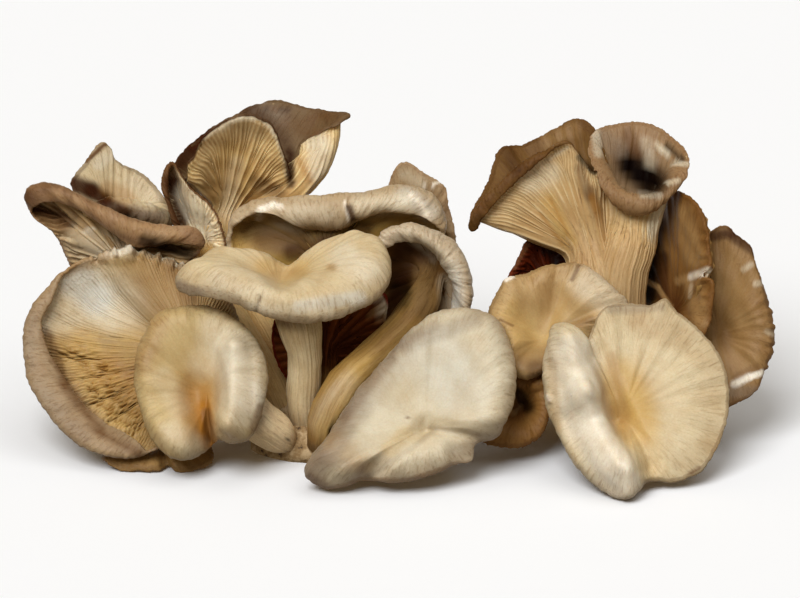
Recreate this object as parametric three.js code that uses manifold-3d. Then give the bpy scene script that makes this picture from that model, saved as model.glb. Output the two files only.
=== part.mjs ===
// A cluster of oyster mushrooms: twenty-one caps on curved stems that stand in one knobbly base clump.
// Millimetres, +Z up, with the origin in the middle of the flat face that the clump rests on.
import * as THREE from 'three';
import { mergeVertices } from 'three/addons/utils/BufferGeometryUtils.js';
import Module from 'manifold-3d';

const wasm = await Module();
wasm.setup();

// ---- driving dimensions ----
const LEAN_DEG = 20; // the frame the mushrooms are drawn in leans back by this angle
const REST_POINT = [30, 37]; // x, y of the origin on the underside of the clump
const STEM_GAP = 0.4; // air between a stem and its hole
const HOLE_SIDES = 6;
const HOLE_DEPTH = 0.45; // the hole goes this much deeper than the foot of the stem
const HOLE_REACH = 18; // a hole goes at least this far up from the foot, which is out of the clump
const FINE = 8; // columns worked out for each column of the mesh, for true normals
const LEAST_ROLL_DEG = 14;
const FULL_ROLL_DEG = 95; // above this the margin gets the rows of a rolled edge
const LIP = 1.35; // thickness just inside the margin, in edge thicknesses
const FLARE_PULL = 0.45; // how far the flare under a cap keeps each of its end directions
const GATHER = 0.5; // how far the gills meet the stem where they leave the cap, and not evenly round it
const CAP_ROWS = [0.3, 0.65, 1];
const ROLLED_ROWS = [0.33, 0.67, 1];
const FLAT_ROWS = [0.5, 1];
const STEM_ROWS = 4;
// Height of the gills from the margin inward and down the stem, in parts of the full height.
const GILL_AT = { edge: 0.15, cap: [0.5, 1, 0.8], flare: 0.5, stem: [0.4, 0.15, 0, 0] };
const GILL_STEEPNESS = 0.45; // no gill stands higher than this part of the gap between columns

// Every mushroom is drawn in the leaning frame as [across, up, back].
//   hub     middle of the cap's upper skin, with the direction that skin faces in up
//   roll    radii of the rolled margin along the cap and across it
//   thick   thickness at the hub and at the margin
//   bend    how far the cap's profile keeps its direction at the hub and at the margin
//   gill    full height of the gills
//   rim     points of the margin: [across, up, back, dive, roll, belly]: how steeply the cap runs down to
//           its margin and how far the margin curls under, in degrees, and how much further than
//           elsewhere the cap runs level from the hub (1 where it is left out)
//   folds   soft ridges and valleys of the whole cap: [across, up, across, up, width, lift]
//   stem    points from foot to top: [across, up, back, radius]
const MUSHROOMS = {
  left_large: {
    colour: '#d9c39a', columns: 40, hub: [-82, 40, 8], up: [-0.3, -0.3, 0.9],
    roll: [10, 4.5], thick: [6, 1.8], bend: [0.35, 0.35], gill: 3,
    rim: [
      [-80, 74, 16, 5, 0], [-88, 78.5, 16, 5, 0], [-96, 82, 16, 5, 0], [-106, 84, 15, 5, 0],
      [-116, 82, 14, 8, 0], [-126, 81.5, 13, 12, 60], [-136, 76, 11, 15, 100], [-144, 67, 9, 15, 140],
      [-150, 58, 6, 15, 150], [-151, 46, 3, 15, 170], [-149, 33, -1, 15, 200], [-141, 20, -6, 15, 200],
      [-130, 9, -11, 15, 200], [-118, 3, -15, 15, 190], [-106, 2.5, -16, 15, 140],
      [-97, 5, -14, 12, 60], [-86, 12, -8, 10, 0], [-72, 22, 1, 10, 0], [-65, 36, 7, 10, 0],
      [-64, 50, 11, 10, 0], [-69, 65, 14, 8, 0],
    ],
    stem: [[-51, 13.3, 13.3, 5], [-58, 20, 6.5, 5.5], [-67, 29, 1, 6], [-75, 36, -1, 7]],
  },
  left_low: {
    colour: '#dccba6', columns: 20, hub: [-77, 29, -20], up: [-0.15, 0.35, -0.92],
    roll: [5, 5], thick: [7, 2], bend: [0.4, 0.45], gill: 1.6,
    rim: [
      [-84, 61, -8, 60, 60], [-95, 58.5, -9, 60, 60], [-102, 49, -12, 60, 60], [-105, 37, -14, 60, 60],
      [-103, 23, -17, 60, 60], [-98, 10, -20, 60, 60], [-91, 3, -23, 60, 60], [-84, 1.3, -23, 55, 60],
      [-78.5, 3.5, -20, 45, 40], [-75, 7.5, -17, 30, 20], [-72, 9, -24.5, 50, 50],
      [-66, 7.8, -28, 60, 60], [-60, 9.5, -27.5, 60, 60], [-56, 16, -26, 60, 60],
      [-53.5, 27, -22, 60, 60], [-53.2, 37, -18, 60, 60], [-56, 45, -14, 60, 60],
      [-62, 53, -10, 60, 60], [-71, 59, -8, 60, 60],
    ],
    folds: [[-82, 30, -78.5, 11, 8, -4], [-66, 44, -66.5, 14, 8.5, 7]],
    stem: [[-46, 9, 2, 6], [-51, 12.5, -5, 8], [-59, 19, -11.5, 8.5]],
  },
  left_shelf: {
    colour: '#d8c4a0', columns: 22, hub: [-48, 75, -10], up: [0.05, 0.94, -0.34],
    roll: [5, 5], thick: [8, 2], bend: [0.35, 0.45], gill: 1.6,
    rim: [
      [-88, 69, -17, 40, 90], [-81, 66.5, -24, 50, 60], [-70, 65, -27, 50, 60],
      [-59, 60.5, -29, 55, 60], [-47, 56.8, -30, 60, 60], [-36, 55.5, -30, 60, 60],
      [-24, 57.8, -29, 60, 60], [-13, 62.5, -26, 60, 60], [-7, 67, -22, 65, 60],
      [-4.5, 74, -14, 70, 60], [-7, 80, -6, 80, 60], [-14, 83, 0, 90, 60], [-24, 83, 4, 90, 60],
      [-34, 80, 7, 60, 40], [-44, 80, 7, 30, 30], [-55, 82.5, 4, 30, 40], [-66, 82.3, 1, 35, 50],
      [-77, 80.5, -3, 40, 60], [-84, 75.5, -9, 40, 60],
    ],
    folds: [[-47, 76, -44, 82, 10, -3]],
    stem: [[-37, 12, 9.5, 5.5], [-38.5, 26, 2, 6.8], [-38, 42, -5, 6.8], [-40, 55, -11, 8.5]],
  },
  front_fan: {
    colour: '#dfd0ae', columns: 22, hub: [10, 16, -31], up: [-0.05, 0.42, -0.9],
    roll: [5, 5], thick: [7, 2], bend: [0.42, 0.45], gill: 1.6,
    rim: [
      [-37, -5, -31, 60, 60], [-30, -9.8, -32, 60, 60], [-21, -8.7, -34, 55, 60],
      [-13, -6, -34, 45, 50], [-4, -7.3, -36, 45, 50], [6, -6.3, -37, 40, 40], [15, -3.5, -36, 40, 40],
      [23, 0.5, -34, 30, 20], [28, 2, -32, 25, 10], [30, 8, -30, 35, 20], [38, 11, -28, 55, 60],
      [43, 20, -25, 65, 60], [45, 32, -20, 70, 60], [43, 44, -15, 70, 60], [38, 54, -9, 70, 60],
      [29, 57.5, -5, 70, 60], [17, 56.5, -3, 70, 60], [6, 51.5, -6, 60, 60], [-4, 40, -11, 60, 60],
      [-12, 31, -15, 60, 60], [-20, 20, -17, 60, 60], [-28, 8, -23, 60, 60], [-34, 1.5, -28, 60, 60],
    ],
    folds: [[10, 15, -12, -5, 5, -2.5], [10, 15, 40, 11, 5, -2.5], [22, 6, 30, 2, 6, -2]],
    stem: [[-20, 10.2, 4.8, 5.5], [-8, 12.5, -4, 6.5], [2, 17, -15, 8]],
  },
  centre_funnel: {
    colour: '#cfb284', columns: 20, hub: [15, 78, 25], up: [0.1, 0.1, 0.99],
    roll: [9, 5], thick: [6, 1.8], bend: [0.35, 0.35], gill: 1.6,
    rim: [
      [-10, 86, 6, 20, 120], [-4, 92, 3, 20, 150], [4, 92.8, 2, 20, 160], [12, 89.5, 2, 20, 170],
      [19, 82.5, 2, 20, 190], [24, 74.5, 2, 20, 215], [26.5, 64, 3, 20, 220], [25, 56, 6, 20, 190],
      [18, 50, 14, 20, 60], [6, 48, 22, 10, 0], [-6, 54, 27, 10, 0], [-14, 66, 24, 10, 0],
      [-14, 78, 14, 10, 60],
    ],
    stem: [
      [-31.5, 6.2, -0.6, 5.5], [-29.5, 17, -7, 7.5], [-22, 31, -7, 7.5], [-9, 43, -1, 7.5],
      [2, 53, 6, 8], [8, 62, 11, 7],
    ],
  },
  centre_shelf: {
    colour: '#b79c78', columns: 20, hub: [-28, 84, 34], up: [0, 0.5, 0.86],
    roll: [8, 7.5], thick: [7, 1.8], bend: [0.35, 0.35], gill: 1.6,
    rim: [
      [-70, 88, 26, 20, 60], [-67, 97, 23, 20, 100], [-60, 102, 21, 20, 110], [-53, 103, 20, 20, 130],
      [-46, 103, 19, 20, 190], [-34, 104, 18, 20, 200], [-22, 104.5, 18, 20, 200],
      [-10, 106.5, 19, 20, 200], [0, 108.5, 20, 20, 200], [8, 108, 20, 20, 190], [15, 103, 21, 20, 150],
      [18, 94, 23, 20, 100], [16, 84, 27, 20, 40], [8, 74, 34, 10, 0], [-8, 66, 38, 10, 0],
      [-30, 62, 40, 10, 0], [-52, 66, 37, 10, 0], [-66, 76, 30, 10, 0],
    ],
    stem: [[-24, 19, 29, 5.5], [-27, 40, 32, 7], [-29, 62, 29, 8]],
  },
  left_trumpet: {
    colour: '#cdb184', columns: 26, hub: [-69.5, 103.5, 47], up: [0.28, 0.93, 0.1],
    roll: [4, 4], thick: [3.6, 1.6], bend: [0.2, 0.32], gill: 2.2,
    rim: [
      [-85.3, 114.5, 20.5, 0, 0, 1.2], [-84.5, 121, 17, 0, 0, 1.4], [-82, 123.5, 17.5, 0, 0],
      [-80, 129, 17, 0, 0], [-74, 134.5, 17, 0, 0], [-62, 139.8, 17, 0, 0], [-52, 135.8, 19, 0, 0],
      [-48, 127, 23, 0, 0], [-45, 118, 29, 0, 0], [-44, 112.5, 37, -20, 0, 1.2],
      [-42, 119, 38, -40, 20, 1.6], [-39, 129.5, 36, -60, 80, 2], [-29, 135.5, 34, -70, 100, 2.4],
      [-22, 140.5, 38, -50, 120, 2.3], [-29, 141.5, 46, -20, 60, 2], [-40, 143.5, 50, 10, 0],
      [-52, 146, 52, 10, 0], [-64, 141, 52, 10, 0], [-78, 133, 48, 10, 0], [-90, 121.5, 39, 0, 0],
    ],
    stem: [
      [-40, 19.8, 31, 5.5], [-45, 35, 34, 6.5], [-55, 55, 42, 7.5], [-66, 72, 47, 8],
      [-72.5, 88, 46, 9.5],
    ],
  },
  left_fold: {
    colour: '#c9a877', columns: 16, hub: [-80, 90, 31], up: [0.1, 0.15, 0.98],
    roll: [4.5, 3.5], thick: [3.4, 1.6], bend: [0.3, 0.35], gill: 1.2,
    rim: [
      [-91.5, 120.5, 21, 10, 60], [-95, 117, 21, 15, 150], [-96, 111, 22, 15, 170],
      [-94.5, 104.5, 23, 15, 170], [-92.5, 98, 24, 15, 165], [-90, 92, 26, 15, 120],
      [-85, 85, 29, 10, 20], [-77, 80.5, 29, 0, 0], [-71, 83, 28, 0, 0], [-71.5, 93, 26, 0, 0],
      [-76.2, 102.8, 25, 0, 0], [-84, 109.7, 21.5, 0, 0], [-88.8, 116.3, 20.5, 0, 20],
    ],
    stem: [[-45, 16.4, 21.8, 5], [-56, 40, 24, 5.5], [-70, 62, 28, 6], [-77, 77, 30, 6.5]],
  },
  left_rolled: {
    colour: '#8f735b', columns: 20, hub: [-112, 82, 24], up: [-0.1, 0.45, 0.89],
    roll: [7.2, 5.4], thick: [4.5, 1.8], bend: [0.35, 0.35], gill: 1.6,
    rim: [
      [-151, 106.5, 10, 10, 150], [-146, 111.2, 8, 10, 180], [-136, 109.6, 7, 10, 190],
      [-124, 103.6, 6, 10, 190], [-112, 97.6, 6, 10, 190], [-100, 93, 6, 10, 190],
      [-90, 92.3, 6, 10, 180], [-82, 91.5, 8, 10, 160], [-78.7, 87, 11, 10, 100], [-87, 79, 21, 10, 0],
      [-98, 69, 30, 10, 0], [-115, 67, 34, 10, 0], [-130, 76, 30, 10, 0], [-139, 92, 18, 10, 0],
      [-148, 99, 12, 10, 90],
    ],
    stem: [[-55, 20.5, 33, 5], [-79, 38, 34, 5.5], [-97, 58, 30, 6], [-105, 73, 25, 7]],
  },
  left_petal: {
    colour: '#cbb08a', columns: 16, hub: [-112, 96, 32], up: [0, 0.9, 0.1],
    roll: [5, 4], thick: [3.6, 1.6], bend: [0.3, 0.35], gill: 1.6,
    rim: [
      [-132, 112, 29, 10, 0], [-126, 121, 33, 5, 0], [-119.5, 128.3, 37, 0, 0], [-114, 120.5, 39, 0, 0],
      [-105, 116, 41, 10, 10], [-98, 109, 40, 10, 20], [-93.5, 102.5, 36, 20, 60],
      [-92, 95, 29.3, 30, 120], [-100, 97.3, 22, 40, 150], [-109, 100.2, 20, 40, 150],
      [-117, 101, 21, 40, 120], [-126, 104, 24, 20, 40],
    ],
    stem: [[-49, 24.3, 43.3, 5], [-80, 50, 47, 5.5], [-104, 78, 40, 6]],
  },
  left_bud: {
    colour: '#b59a74', columns: 12, hub: [-96, 6.5, 2], up: [-0.4, 0.85, -0.3],
    roll: [3, 3], thick: [4.5, 1.6], bend: [0.35, 0.4], gill: 1.6,
    rim: [
      [-118, 1, -8, 30, 40], [-112, -2.3, -11, 30, 40], [-103, -3, -12, 30, 40],
      [-96, -2.7, -12, 30, 40], [-93, -0.5, -8, 20, 20], [-89, -3.2, -12, 30, 40],
      [-82, -2.8, -11, 30, 40], [-75.5, 0, -8, 30, 40], [-75, 4, 0, 20, 20], [-79, 9, 10, 20, 20],
      [-92, 10.5, 14, 20, 20], [-108, 7.5, 11, 20, 20], [-118, 3.5, 3, 20, 20],
    ],
    stem: [[-56, 16.4, 21.7, 4.5], [-67, 16, 15, 4.5], [-79, 10.5, 7, 4.5]],
  },
  inner_bud: {
    colour: '#a58560', columns: 12, hub: [-30, 46, 17], up: [0, 0.2, 0.97],
    roll: [4, 4], thick: [6, 1.6], bend: [0.3, 0.4], gill: 1.6,
    rim: [
      [-50, 42, 17, 10, 10], [-50, 57, 16, 10, 10], [-40, 66, 15, 10, 10], [-22, 67, 13, 10, 10],
      [-6, 67, 12, 10, 10], [-6, 57, 13, 10, 10], [-11, 42, 16, 10, 10], [-24, 31, 19, 10, 10],
      [-42, 31, 19, 10, 10],
    ],
    stem: [[-33, 16, 20.8, 5], [-32.5, 24, 18, 5], [-31.5, 35, 14, 5.5]],
  },
  centre_flap: {
    colour: '#c4a67c', columns: 12, hub: [5, 94, 43], up: [0.1, -0.2, -0.97],
    roll: [4, 4], thick: [6, 1.6], bend: [0.35, 0.4], gill: 1.6,
    rim: [
      [-6, 104, 40, 10, 0], [-4, 112, 36, 10, 0], [-1, 118.5, 34, 10, 0], [2.5, 120, 34, 10, 10],
      [10, 115.8, 34, 20, 30], [18, 110, 34, 20, 20], [19.5, 102, 34, 20, 30], [22.3, 90, 34, 20, 40],
      [20, 81, 37, 20, 20], [8, 78, 46, 10, 0], [-6, 84, 48, 10, 0], [-10, 94, 46, 10, 0],
    ],
    stem: [[-12, 19, 29, 5.5], [-8, 44, 46, 6], [2, 72, 53, 6.5]],
  },
  right_fan: {
    colour: '#dbc59b', columns: 22, hub: [89, 21, -25], up: [0.1, 0.4, -0.9],
    roll: [5, 5], thick: [7, 2], bend: [0.35, 0.45], gill: 1.6,
    rim: [
      [61, 53, -13, 60, 60], [58.5, 43, -14, 70, 60], [58, 32, -16, 75, 60], [60.5, 20, -19, 75, 60],
      [65, 10, -22, 75, 60], [70, 0, -27, 75, 60], [77, -8, -32, 70, 60], [84, -12.5, -38, 60, 60],
      [89.5, -14, -41.5, 60, 60], [94.5, -11, -39, 55, 55], [98, -7, -34.5, 40, 35],
      [102, -6.5, -32, 20, 20], [108, -7, -31, 10, 20], [114, -5, -30.5, 10, 10],
      [118.5, -3, -30, 10, 10], [124, 4, -27, 10, 10], [128.5, 14, -23, 10, 10],
      [130.5, 24, -19, 10, 10], [129.5, 36, -15, 10, 10], [125, 46, -11, 10, 10], [118, 54, -8, 10, 10],
      [110, 60.5, -6, 10, 10], [106, 65, -5, 5, 0], [100, 62.7, -6, 10, 10], [90, 63.3, -6, 10, 10],
      [81, 61, -9, 15, 10], [77, 54, -13, 20, 10], [74.5, 49, -16, 30, 10], [70, 52.5, -16, 50, 30],
      [65, 54.5, -14, 60, 50],
    ],
    folds: [
      [66, 47, 72, 24, 10, 7], [72, 24, 84, -2, 10, 7], [79, 44, 87, 20, 7, -4], [87, 20, 98, 0, 7, -4],
    ],
    stem: [[88, 13.7, 14.2, 6], [88, 17, 0, 7.5], [87, 20, -11, 8.5]],
  },
  right_shelf: {
    colour: '#d4b98c', columns: 18, hub: [58, 52, 0], up: [-0.1, 0.45, -0.88],
    roll: [5, 5], thick: [6, 2], bend: [0.5, 0.4], gill: 1.6,
    rim: [
      [35, 57, 0, 45, 40], [40, 70, 2, 35, 30], [43, 73.5, 3, 30, 10], [50, 75.3, 5, 30, 20],
      [60, 79, 5, 30, 20], [67, 80, 4, 20, 10], [73, 79, 3, 20, 10], [80, 74.5, 2, 25, 30],
      [86, 69, 1.5, 25, 40], [91, 64, 1, 25, 20], [86, 58, -1, 30, 10], [78, 52, -2, 30, 0],
      [72, 44, -2, 40, 20], [65, 39, -3, 55, 50], [58, 36, -4, 75, 60], [52, 34, -5, 85, 60],
      [47, 35.5, -5, 80, 60], [44, 42, -5, 65, 60], [40, 50, -2, 50, 50],
    ],
    folds: [[64, 76, 56, 50, 8, -2.5]],
    stem: [[76, 15.7, 19.9, 5.5], [69, 28, 14, 6], [62, 39, 10, 7]],
  },
  right_trumpet: {
    colour: '#c7a878', columns: 26, hub: [78, 85, 20], up: [-0.25, 0.9, 0.2],
    roll: [5, 4], thick: [4, 1.6], bend: [0.15, 0.3], gill: 2,
    rim: [
      [27.5, 95, 8, 0, 130], [31, 102, 5, 5, 150], [39, 111, 3, 5, 150], [48, 119, 3, 5, 150],
      [58, 125, 4, 5, 120], [67, 128.5, 6, 0, 50], [71.5, 123.5, 7, 0, 20], [77, 116.5, 9, 0, 10],
      [82, 119, 17, 0, 10], [79, 130, 27, 0, 20], [76, 135.5, 31, 0, 40], [71, 138, 34, 0, 40],
      [62, 133.5, 37, 0, 20], [50, 127.5, 38, 0, 10], [42, 126.5, 34, 0, 0], [36, 112, 26, -5, 0],
      [29, 100, 16, -5, 40],
    ],
    stem: [[87, 19.1, 30, 8], [84, 40, 25, 10], [80.5, 56, 21, 12], [79, 68, 19.5, 12.5]],
  },
  right_twin: {
    colour: '#b8976c', columns: 22, hub: [93, 91, 17], up: [0.1, 0.95, 0.15],
    roll: [5.5, 4.5], thick: [4, 1.6], bend: [0.3, 0.32], gill: 2,
    rim: [
      [79.5, 116, 9, 20, 110], [84, 108.5, 5, 30, 160], [91, 104.5, 2, 30, 170],
      [99, 103.3, 0, 30, 170], [106, 106, 2, 30, 160], [111.5, 111.5, 5, 30, 130],
      [116, 118.5, 10, 20, 80], [113.5, 125.5, 17, 5, 10], [109, 130, 23, 5, 0], [103, 134.5, 27, 5, 0],
      [96, 136.5, 29, 5, 10], [88, 135.5, 29, 5, 10], [80.5, 133.5, 26, 0, 30], [76.5, 128, 19, 0, 70],
      [77, 121, 13, 10, 90],
    ],
    stem: [
      [91, 19.8, 32, 8], [89, 40, 26, 9.5], [88, 62, 19, 10.5], [89, 76, 16, 10.5], [91, 83, 16, 10.5],
    ],
  },
  right_side: {
    colour: '#bfa077', columns: 14, hub: [110, 60, 15], up: [-0.45, 0.35, -0.82],
    roll: [4, 4], thick: [6, 1.8], bend: [0.3, 0.35], gill: 1.6,
    rim: [
      [109.3, 107.5, 20.5, 0, 0], [113.5, 107, 9, 0, 20], [119, 102, 1, 0, 20], [122, 94, -1, 0, 20],
      [123, 85, -2, 0, 20], [123.5, 78, -3, 0, 20], [120.5, 75, -2, 0, 10], [124, 72, -4, 0, 20],
      [124.5, 64, -4, 10, 40], [122, 53, -4, 10, 40], [116, 46, -3, 10, 20], [108, 45, 4, 10, 0],
      [101, 50, 19, 10, 0], [95.5, 62, 33, 0, 0], [95.5, 76, 35, 0, 0], [98.8, 88, 33.5, 0, 0],
      [104, 98.5, 29.5, 0, 0],
    ],
    stem: [[102, 15, 18, 5.5], [104, 30, 20, 5.5], [107, 45, 20, 6]],
  },
  right_outer: {
    colour: '#b39069', columns: 14, hub: [128, 52, 12], up: [0.45, 0.25, -0.85],
    roll: [4, 4], thick: [6, 1.8], bend: [0.35, 0.4], gill: 1.6,
    rim: [
      [123, 90, 18, 10, 0], [131, 94.5, 16, 10, 10], [135, 91, 14, 10, 10], [141, 86, 13, 20, 20],
      [143, 79, 11, 30, 30], [147, 67, 9, 30, 40], [150, 55, 8, 30, 40], [149.5, 44, 7, 30, 40],
      [146, 36, 6, 30, 30], [143, 29, 5, 20, 20], [136, 24.5, 4, 10, 10], [130, 22.5, 4, 10, 10],
      [123, 28, 7, 10, 0], [119, 40, 12, 10, 0], [118, 55, 16, 10, 0], [118, 72, 19, 10, 0],
      [120, 84, 20, 10, 0],
    ],
    stem: [[108, 18.8, 28.3, 5.5], [116, 27, 27, 6], [122, 38, 23, 6.5]],
  },
  right_back_bud: {
    colour: '#9d7c58', columns: 12, hub: [56, 78, 24], up: [-0.2, 0.3, 0.93],
    roll: [3, 3], thick: [5, 1.6], bend: [0.3, 0.4], gill: 1.6,
    rim: [
      [43.5, 73, 18, 10, 20], [47.5, 81.5, 19, 10, 20], [51, 88.5, 21, 10, 20], [57, 87, 28, 10, 0],
      [65, 84, 34, 10, 0], [66, 74, 33, 10, 0], [58, 66, 23, 10, 0], [48, 66, 18, 10, 10],
    ],
    stem: [[74, 22.5, 38.7, 5], [68, 42, 36, 5.5], [60, 62, 26, 6]],
  },
  right_low_bud: {
    colour: '#b08f66', columns: 12, hub: [48, 22, 4], up: [0, 0.5, -0.86],
    roll: [3, 3], thick: [5, 1.6], bend: [0.35, 0.4], gill: 1.6,
    rim: [
      [57.5, 32, -1, 40, 40], [60, 22, -4, 40, 40], [56.5, 11, -6, 40, 40], [49, 6.3, -7, 40, 40],
      [40, 6.3, -8, 40, 40], [33, 9, -8, 30, 20], [34, 16, -6, 20, 0], [38, 24, -2, 20, 0],
      [44, 31, 2, 20, 0], [52, 34, 2, 20, 0],
    ],
    stem: [[64, 26, 31, 4.5], [59, 27, 22, 4.5], [52, 25, 12, 5]],
  },
};

// The clump, as stations along x: [x, front y, back y, height].
const CLUMP_STATIONS = [
  [-60, 14, 22, 3], [-57, 9, 32, 9], [-51, 4, 42, 13], [-44, 0, 52, 15], [-36, -1.5, 52, 16],
  [-27, -2, 46, 16], [-16, 4, 44, 15], [0, 14, 44, 14], [20, 24, 46, 13], [40, 30, 50, 14],
  [56, 33, 52, 17], [66, 30, 53, 18], [78, 16, 54, 18], [90, 10, 54, 17], [104, 12, 52, 15],
  [114, 18, 46, 10], [119, 26, 38, 4],
];
const CLUMP_COLOUR = '#5a4230';
const CLUMP_SIDES = 9; // points over the top of each station
const CLUMP_LUMP = 0.9; // height of the knobs
const ARCH = { from: 51, to: 69, height: 10.5, sides: 8 }; // opening under the clump between the two halves

// ---- small helpers ----
const SIN = Math.sin(THREE.MathUtils.degToRad(LEAN_DEG));
const COS = Math.cos(THREE.MathUtils.degToRad(LEAN_DEG));

// [across, up, back] in the leaning frame to x, y, z.
function upright([across, up, back]) {
  return new THREE.Vector3(across, up * SIN + back * COS, up * COS - back * SIN);
}

// Sum of vectors, each times its factor.
function blend(...terms) {
  const sum = new THREE.Vector3();
  terms.forEach(([vector, factor]) => sum.addScaledVector(vector, factor));
  return sum;
}

function smooth(x) {
  const t = THREE.MathUtils.clamp(x, 0, 1);
  return t * t * (3 - 2 * t);
}

function bezier(p, u) {
  const v = 1 - u;
  return blend([p[0], v * v * v], [p[1], 3 * v * v * u], [p[2], 3 * v * u * u], [p[3], u * u * u]);
}

// How far the folds lift a point of a cap: all of the lift on a fold's line, and none a width away.
function foldLift(point, folds) {
  const up = point.y * SIN + point.z * COS;
  return folds.reduce((sum, [a0, v0, a1, v1, width, lift]) => {
    const [da, dv] = [a1 - a0, v1 - v0];
    const share = ((point.x - a0) * da + (up - v0) * dv) / (da * da + dv * dv);
    const along = THREE.MathUtils.clamp(share, 0, 1);
    const away = Math.hypot(point.x - a0 - along * da, up - v0 - along * dv);
    return sum + lift * (1 - smooth(away / width));
  }, 0);
}

function gap(p, q) {
  return Math.hypot(p[0] - q[0], p[1] - q[1], p[2] - q[2]);
}

// Rows of numbers, the first three of them a place, joined by a smooth curve with knots at the square
// roots of the gaps. Every column of the rows is carried along.
function smoothRows(rows, closed, steps) {
  const last = rows.length - 1;
  const mirror = (p, q) => p.map((x, i) => 2 * x - q[i]);
  const line = closed
    ? [rows[last], ...rows, rows[0], rows[1]]
    : [mirror(rows[0], rows[1]), ...rows, mirror(rows[last], rows[last - 1])];
  const out = [];
  for (let i = 1; i < line.length - 2; i += 1) {
    const [a, b, c, d] = line.slice(i - 1, i + 3);
    const ab = Math.sqrt(gap(a, b));
    const bc = Math.sqrt(gap(b, c));
    const cd = Math.sqrt(gap(c, d));
    const from = b.map((x, k) => c[k] - x + bc * ((x - a[k]) / ab - (c[k] - a[k]) / (ab + bc)));
    const to = b.map((x, k) => c[k] - x + bc * ((d[k] - c[k]) / cd - (d[k] - x) / (bc + cd)));
    for (let j = 0; j < steps; j += 1) {
      const w = j / steps;
      const rise = w * w * (3 - 2 * w);
      out.push(b.map((x, k) => (1 - rise) * x + rise * c[k]
        + w * (1 - w) * ((1 - w) * from[k] - w * to[k])));
    }
  }
  if (!closed) out.push(rows[last]);
  return out;
}

// The same curve at evenly spaced places.
function evenRows(rows, count, closed) {
  const line = closed ? [...rows, rows[0]] : rows;
  const along = [0];
  for (let i = 1; i < line.length; i += 1) along.push(along[i - 1] + gap(line[i - 1], line[i]));
  const length = along[along.length - 1];
  const out = [];
  let i = 1;
  for (let k = 0; k < count; k += 1) {
    const target = (k / (closed ? count : count - 1)) * length;
    while (i < line.length - 1 && along[i] < target) i += 1;
    const w = THREE.MathUtils.clamp((target - along[i - 1]) / (along[i] - along[i - 1]), 0, 1);
    out.push(line[i - 1].map((x, c) => x + (line[i][c] - x) * w));
  }
  return out;
}

// ---- a mushroom ----

// One column of a cap: the curve from the hub to the margin and the roll beyond it.
function capColumn(rim, hub, up, spec) {
  const [along, across] = spec.roll;
  const edge = new THREE.Vector3(rim[0], rim[1], rim[2]);
  const dive = THREE.MathUtils.degToRad(rim[3]);
  const curl = Math.max(Math.abs(rim[4]), LEAST_ROLL_DEG);
  const roll = THREE.MathUtils.degToRad(curl);
  const chord = blend([edge, 1], [hub, -1]);
  const length = chord.length();
  const out = chord.clone().normalize();
  const face = blend([up, 1], [out, -out.dot(up)]).normalize();
  const tangent = blend([out, Math.cos(dive)], [face, -Math.sin(dive)]);
  const normal = blend([face, Math.cos(dive)], [out, Math.sin(dive)]);
  const quarter = Math.min(roll, Math.PI / 2);
  const start = blend([edge, 1], [tangent, -along * Math.sin(quarter)],
    [normal, across * (1 - Math.cos(quarter))]);
  const level = blend([chord, 1], [up, -chord.dot(up)]).normalize();
  const curve = [
    hub,
    blend([hub, 1], [level, length * spec.bend[0] * rim[5]]),
    blend([start, 1], [tangent, -length * spec.bend[1]]),
    start,
  ];
  const folds = spec.folds ?? [];
  return { along, across, roll, length, tangent, normal, start, level, curve, up, folds };
}

// Point of a column's upper skin: reach 0 at the hub, 1 where the roll starts, 2 at its end.
function skinPoint(column, reach) {
  const angle = column.roll * Math.max(reach - 1, 0);
  const point = blend([bezier(column.curve, Math.min(reach, 1)), 1],
    [column.tangent, column.along * Math.sin(angle)],
    [column.normal, -column.across * (1 - Math.cos(angle))]);
  return point.addScaledVector(column.up, foldLift(point, column.folds));
}

// Normal of the upper skin of column i at a reach, from its neighbours on both sides.
function skinNormal(columns, i, reach) {
  const column = columns[i];
  if (reach > 1) {
    const angle = column.roll * (reach - 1);
    return blend([column.normal, column.along * Math.cos(angle)],
      [column.tangent, column.across * Math.sin(angle)]).normalize();
  }
  const count = columns.length;
  const step = 0.001;
  const next = bezier(columns[(i + 1) % count].curve, reach);
  const before = bezier(columns[(i + count - 1) % count].curve, reach);
  const ahead = bezier(column.curve, reach + step);
  const behind = bezier(column.curve, reach - step);
  const normal = blend([ahead, 1], [behind, -1]).cross(blend([next, 1], [before, -1])).normalize();
  const near = smooth((reach - 0.8) / 0.2);
  return blend([normal, 1 - near], [column.normal, near]).normalize();
}

function thickness(spec, reach) {
  const [middle, edge] = spec.thick;
  if (reach > 1) return edge * (LIP - (LIP - 1) * (reach - 1));
  return edge * LIP + (middle - edge * LIP) * (1 - reach) ** 1.5;
}

// Frames along the stem from the cap down, turned no more than the stem itself turns.
function stemFrames(path, up, first, second) {
  const turn = new THREE.Quaternion();
  const frames = [];
  let heading = up.clone().negate();
  let x = first.clone();
  let y = second.clone();
  path.forEach((row, k) => {
    const here = new THREE.Vector3(...path[Math.max(k - 1, 0)]);
    const there = new THREE.Vector3(...path[Math.min(k + 1, path.length - 1)]);
    const tangent = there.sub(here).normalize();
    turn.setFromUnitVectors(heading, tangent);
    x = x.clone().applyQuaternion(turn);
    y = y.clone().applyQuaternion(turn);
    heading = tangent;
    frames.push({ x, y, tangent, centre: new THREE.Vector3(...row), radius: row[3] });
  });
  return frames;
}

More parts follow.
